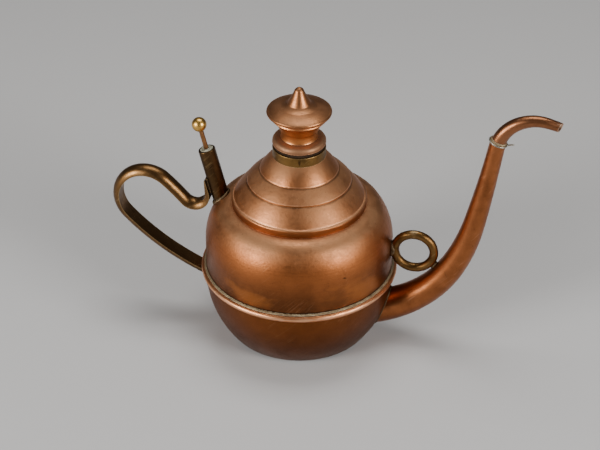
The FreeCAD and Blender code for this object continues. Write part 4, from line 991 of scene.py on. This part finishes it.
@dataclass
class Grips:
    """The strap handle and the hanging ring, with the solder that holds them."""

    rough: tuple[Lumpy, ...] = tuple(
        Lumpy(node, name, "solder", OLD_SOLDER,
              grid=0.22 * MM, lumps=0.30 * MM, lump_size=1.6 * MM)
        for node, name in (("handle_solder", "handle_fillets"),
                           ("ring_solder", "ring_fillets")))

    def build(self) -> None:
        """Dress the brass and roughen its solder."""
        finish_node("handle", HANDLE_BRASS)
        finish_node("hanging_ring", RING_BRASS)
        for piece in self.rough:
            piece.build()


@dataclass
class ThumbValve:
    """The valve's tube, packing and inner fittings, and the rod with its ball."""

    fittings: tuple[str, ...] = ("guide_bush", "valve_seat", "spring_collar", "valve_disc",
                                 "valve_nut")
    wires: tuple[str, ...] = ("return_spring", "collar_pin")
    rough: tuple[Lumpy, ...] = (
        Lumpy("valve_tube_solder", "valve_tube_fillet", "solder", OLD_SOLDER,
              grid=0.22 * MM, lumps=0.30 * MM, lump_size=1.7 * MM),
        Lumpy("gland_packing", "packing_cord", "packing", PACKING,
              grid=0.13 * MM, lumps=0.45 * MM, lump_size=0.9 * MM))

    def build(self) -> None:
        """Dress the metal, roughen the solder and crumble the packing."""
        finish_node("valve_tube", TUBE_BRASS)
        finish_node("valve_rod", ROD_STEEL)
        finish_node("thumb_ball", BALL_BRASS)
        finish_node("valve_washer", LEATHER)
        for node in self.fittings:
            finish_node(node, FITTING_BRASS)
        for node in self.wires:
            finish_node(node, WIRE_STEEL)
        for piece in self.rough:
            piece.build()


# ------------------------------------------------------------------ floor, light, camera


@dataclass(frozen=True)
class Softbox:
    """A rectangular light: its place, its width and height, and its power in watts."""

    name: str
    place: tuple[float, float, float]
    wide: float
    high: float
    power: float

    def build(self, target: Vector) -> None:
        """Add the light, facing the target."""
        data = bpy.data.lights.new(self.name, "AREA")
        data.shape = "RECTANGLE"
        data.size = self.wide
        data.size_y = self.high
        data.energy = self.power
        lamp = bpy.data.objects.new(self.name, data)
        lamp.location = self.place
        way = target - Vector(self.place)
        lamp.rotation_euler = way.to_track_quat("-Z", "Y").to_euler()
        bpy.context.scene.collection.objects.link(lamp)


@dataclass
class Studio:
    """A plain pale floor, soft lights and the camera."""

    softboxes: tuple[Softbox, ...] = (
        Softbox("left_softbox", (-0.85, -0.83, 0.46), 0.50, 0.45, 17.0),
        Softbox("right_softbox", (0.98, -0.50, 0.50), 0.45, 0.45, 13.0),
        Softbox("top_softbox", (0.0, 0.25, 1.30), 0.80, 0.50, 9.0))
    lit_place: tuple[float, float, float] = (0.0, 0.0, 0.07)
    floor_radius: float = 9.0
    floor_steps: int = 96
    sky: Colour = (0.60, 0.60, 0.61)
    sky_strength: float = 0.12
    camera_place: tuple[float, float, float] = (0.1677, -0.7868, 0.6132)
    camera_way: tuple[float, float, float] = (-0.1718, 0.8080, -0.5635)
    lens: float = 108.0
    sensor: float = 36.0

    def build(self) -> None:
        """Add the floor, the sky, the lights and the camera."""
        self._floor()
        self._sky()
        for softbox in self.softboxes:
            softbox.build(Vector(self.lit_place))
        self._camera()

    def _floor(self) -> None:
        """Add the round pale floor."""
        work = bmesh.new()
        bmesh.ops.create_circle(work, cap_ends=True, segments=self.floor_steps,
                                radius=self.floor_radius)
        mesh = bpy.data.meshes.new("floor")
        work.to_mesh(mesh)
        work.free()
        floor = bpy.data.objects.new("floor", mesh)
        bpy.context.scene.collection.objects.link(floor)
        floor.data.materials.append(FLOOR.build())

    def _sky(self) -> None:
        """Light the scene evenly from all round."""
        world = bpy.data.worlds.new("studio")
        world.use_nodes = True
        shade = world.node_tree.nodes["Background"]
        shade.inputs["Color"].default_value = (*self.sky, 1.0)
        shade.inputs["Strength"].default_value = self.sky_strength
        bpy.context.scene.world = world

    def _camera(self) -> None:
        """Add the camera, level with no roll."""
        data = bpy.data.cameras.new("camera")
        data.lens = self.lens
        data.sensor_width = self.sensor
        data.dof.use_dof = False
        camera = bpy.data.objects.new("camera", data)
        camera.location = self.camera_place
        camera.rotation_euler = Vector(self.camera_way).to_track_quat("-Z", "Y").to_euler()
        bpy.context.scene.collection.objects.link(camera)
        bpy.context.scene.camera = camera


def main() -> None:
    """Build the looks piece by piece."""
    logging.basicConfig(level=logging.INFO, format="%(message)s")
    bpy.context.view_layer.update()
    for part in (Can(), Cap(), Spout(), Grips(), ThumbValve(), Studio()):
        part.build()
        LOG.info("%s is done", type(part).__name__)
    bpy.context.view_layer.update()


if __name__ == "__main__":
    main()
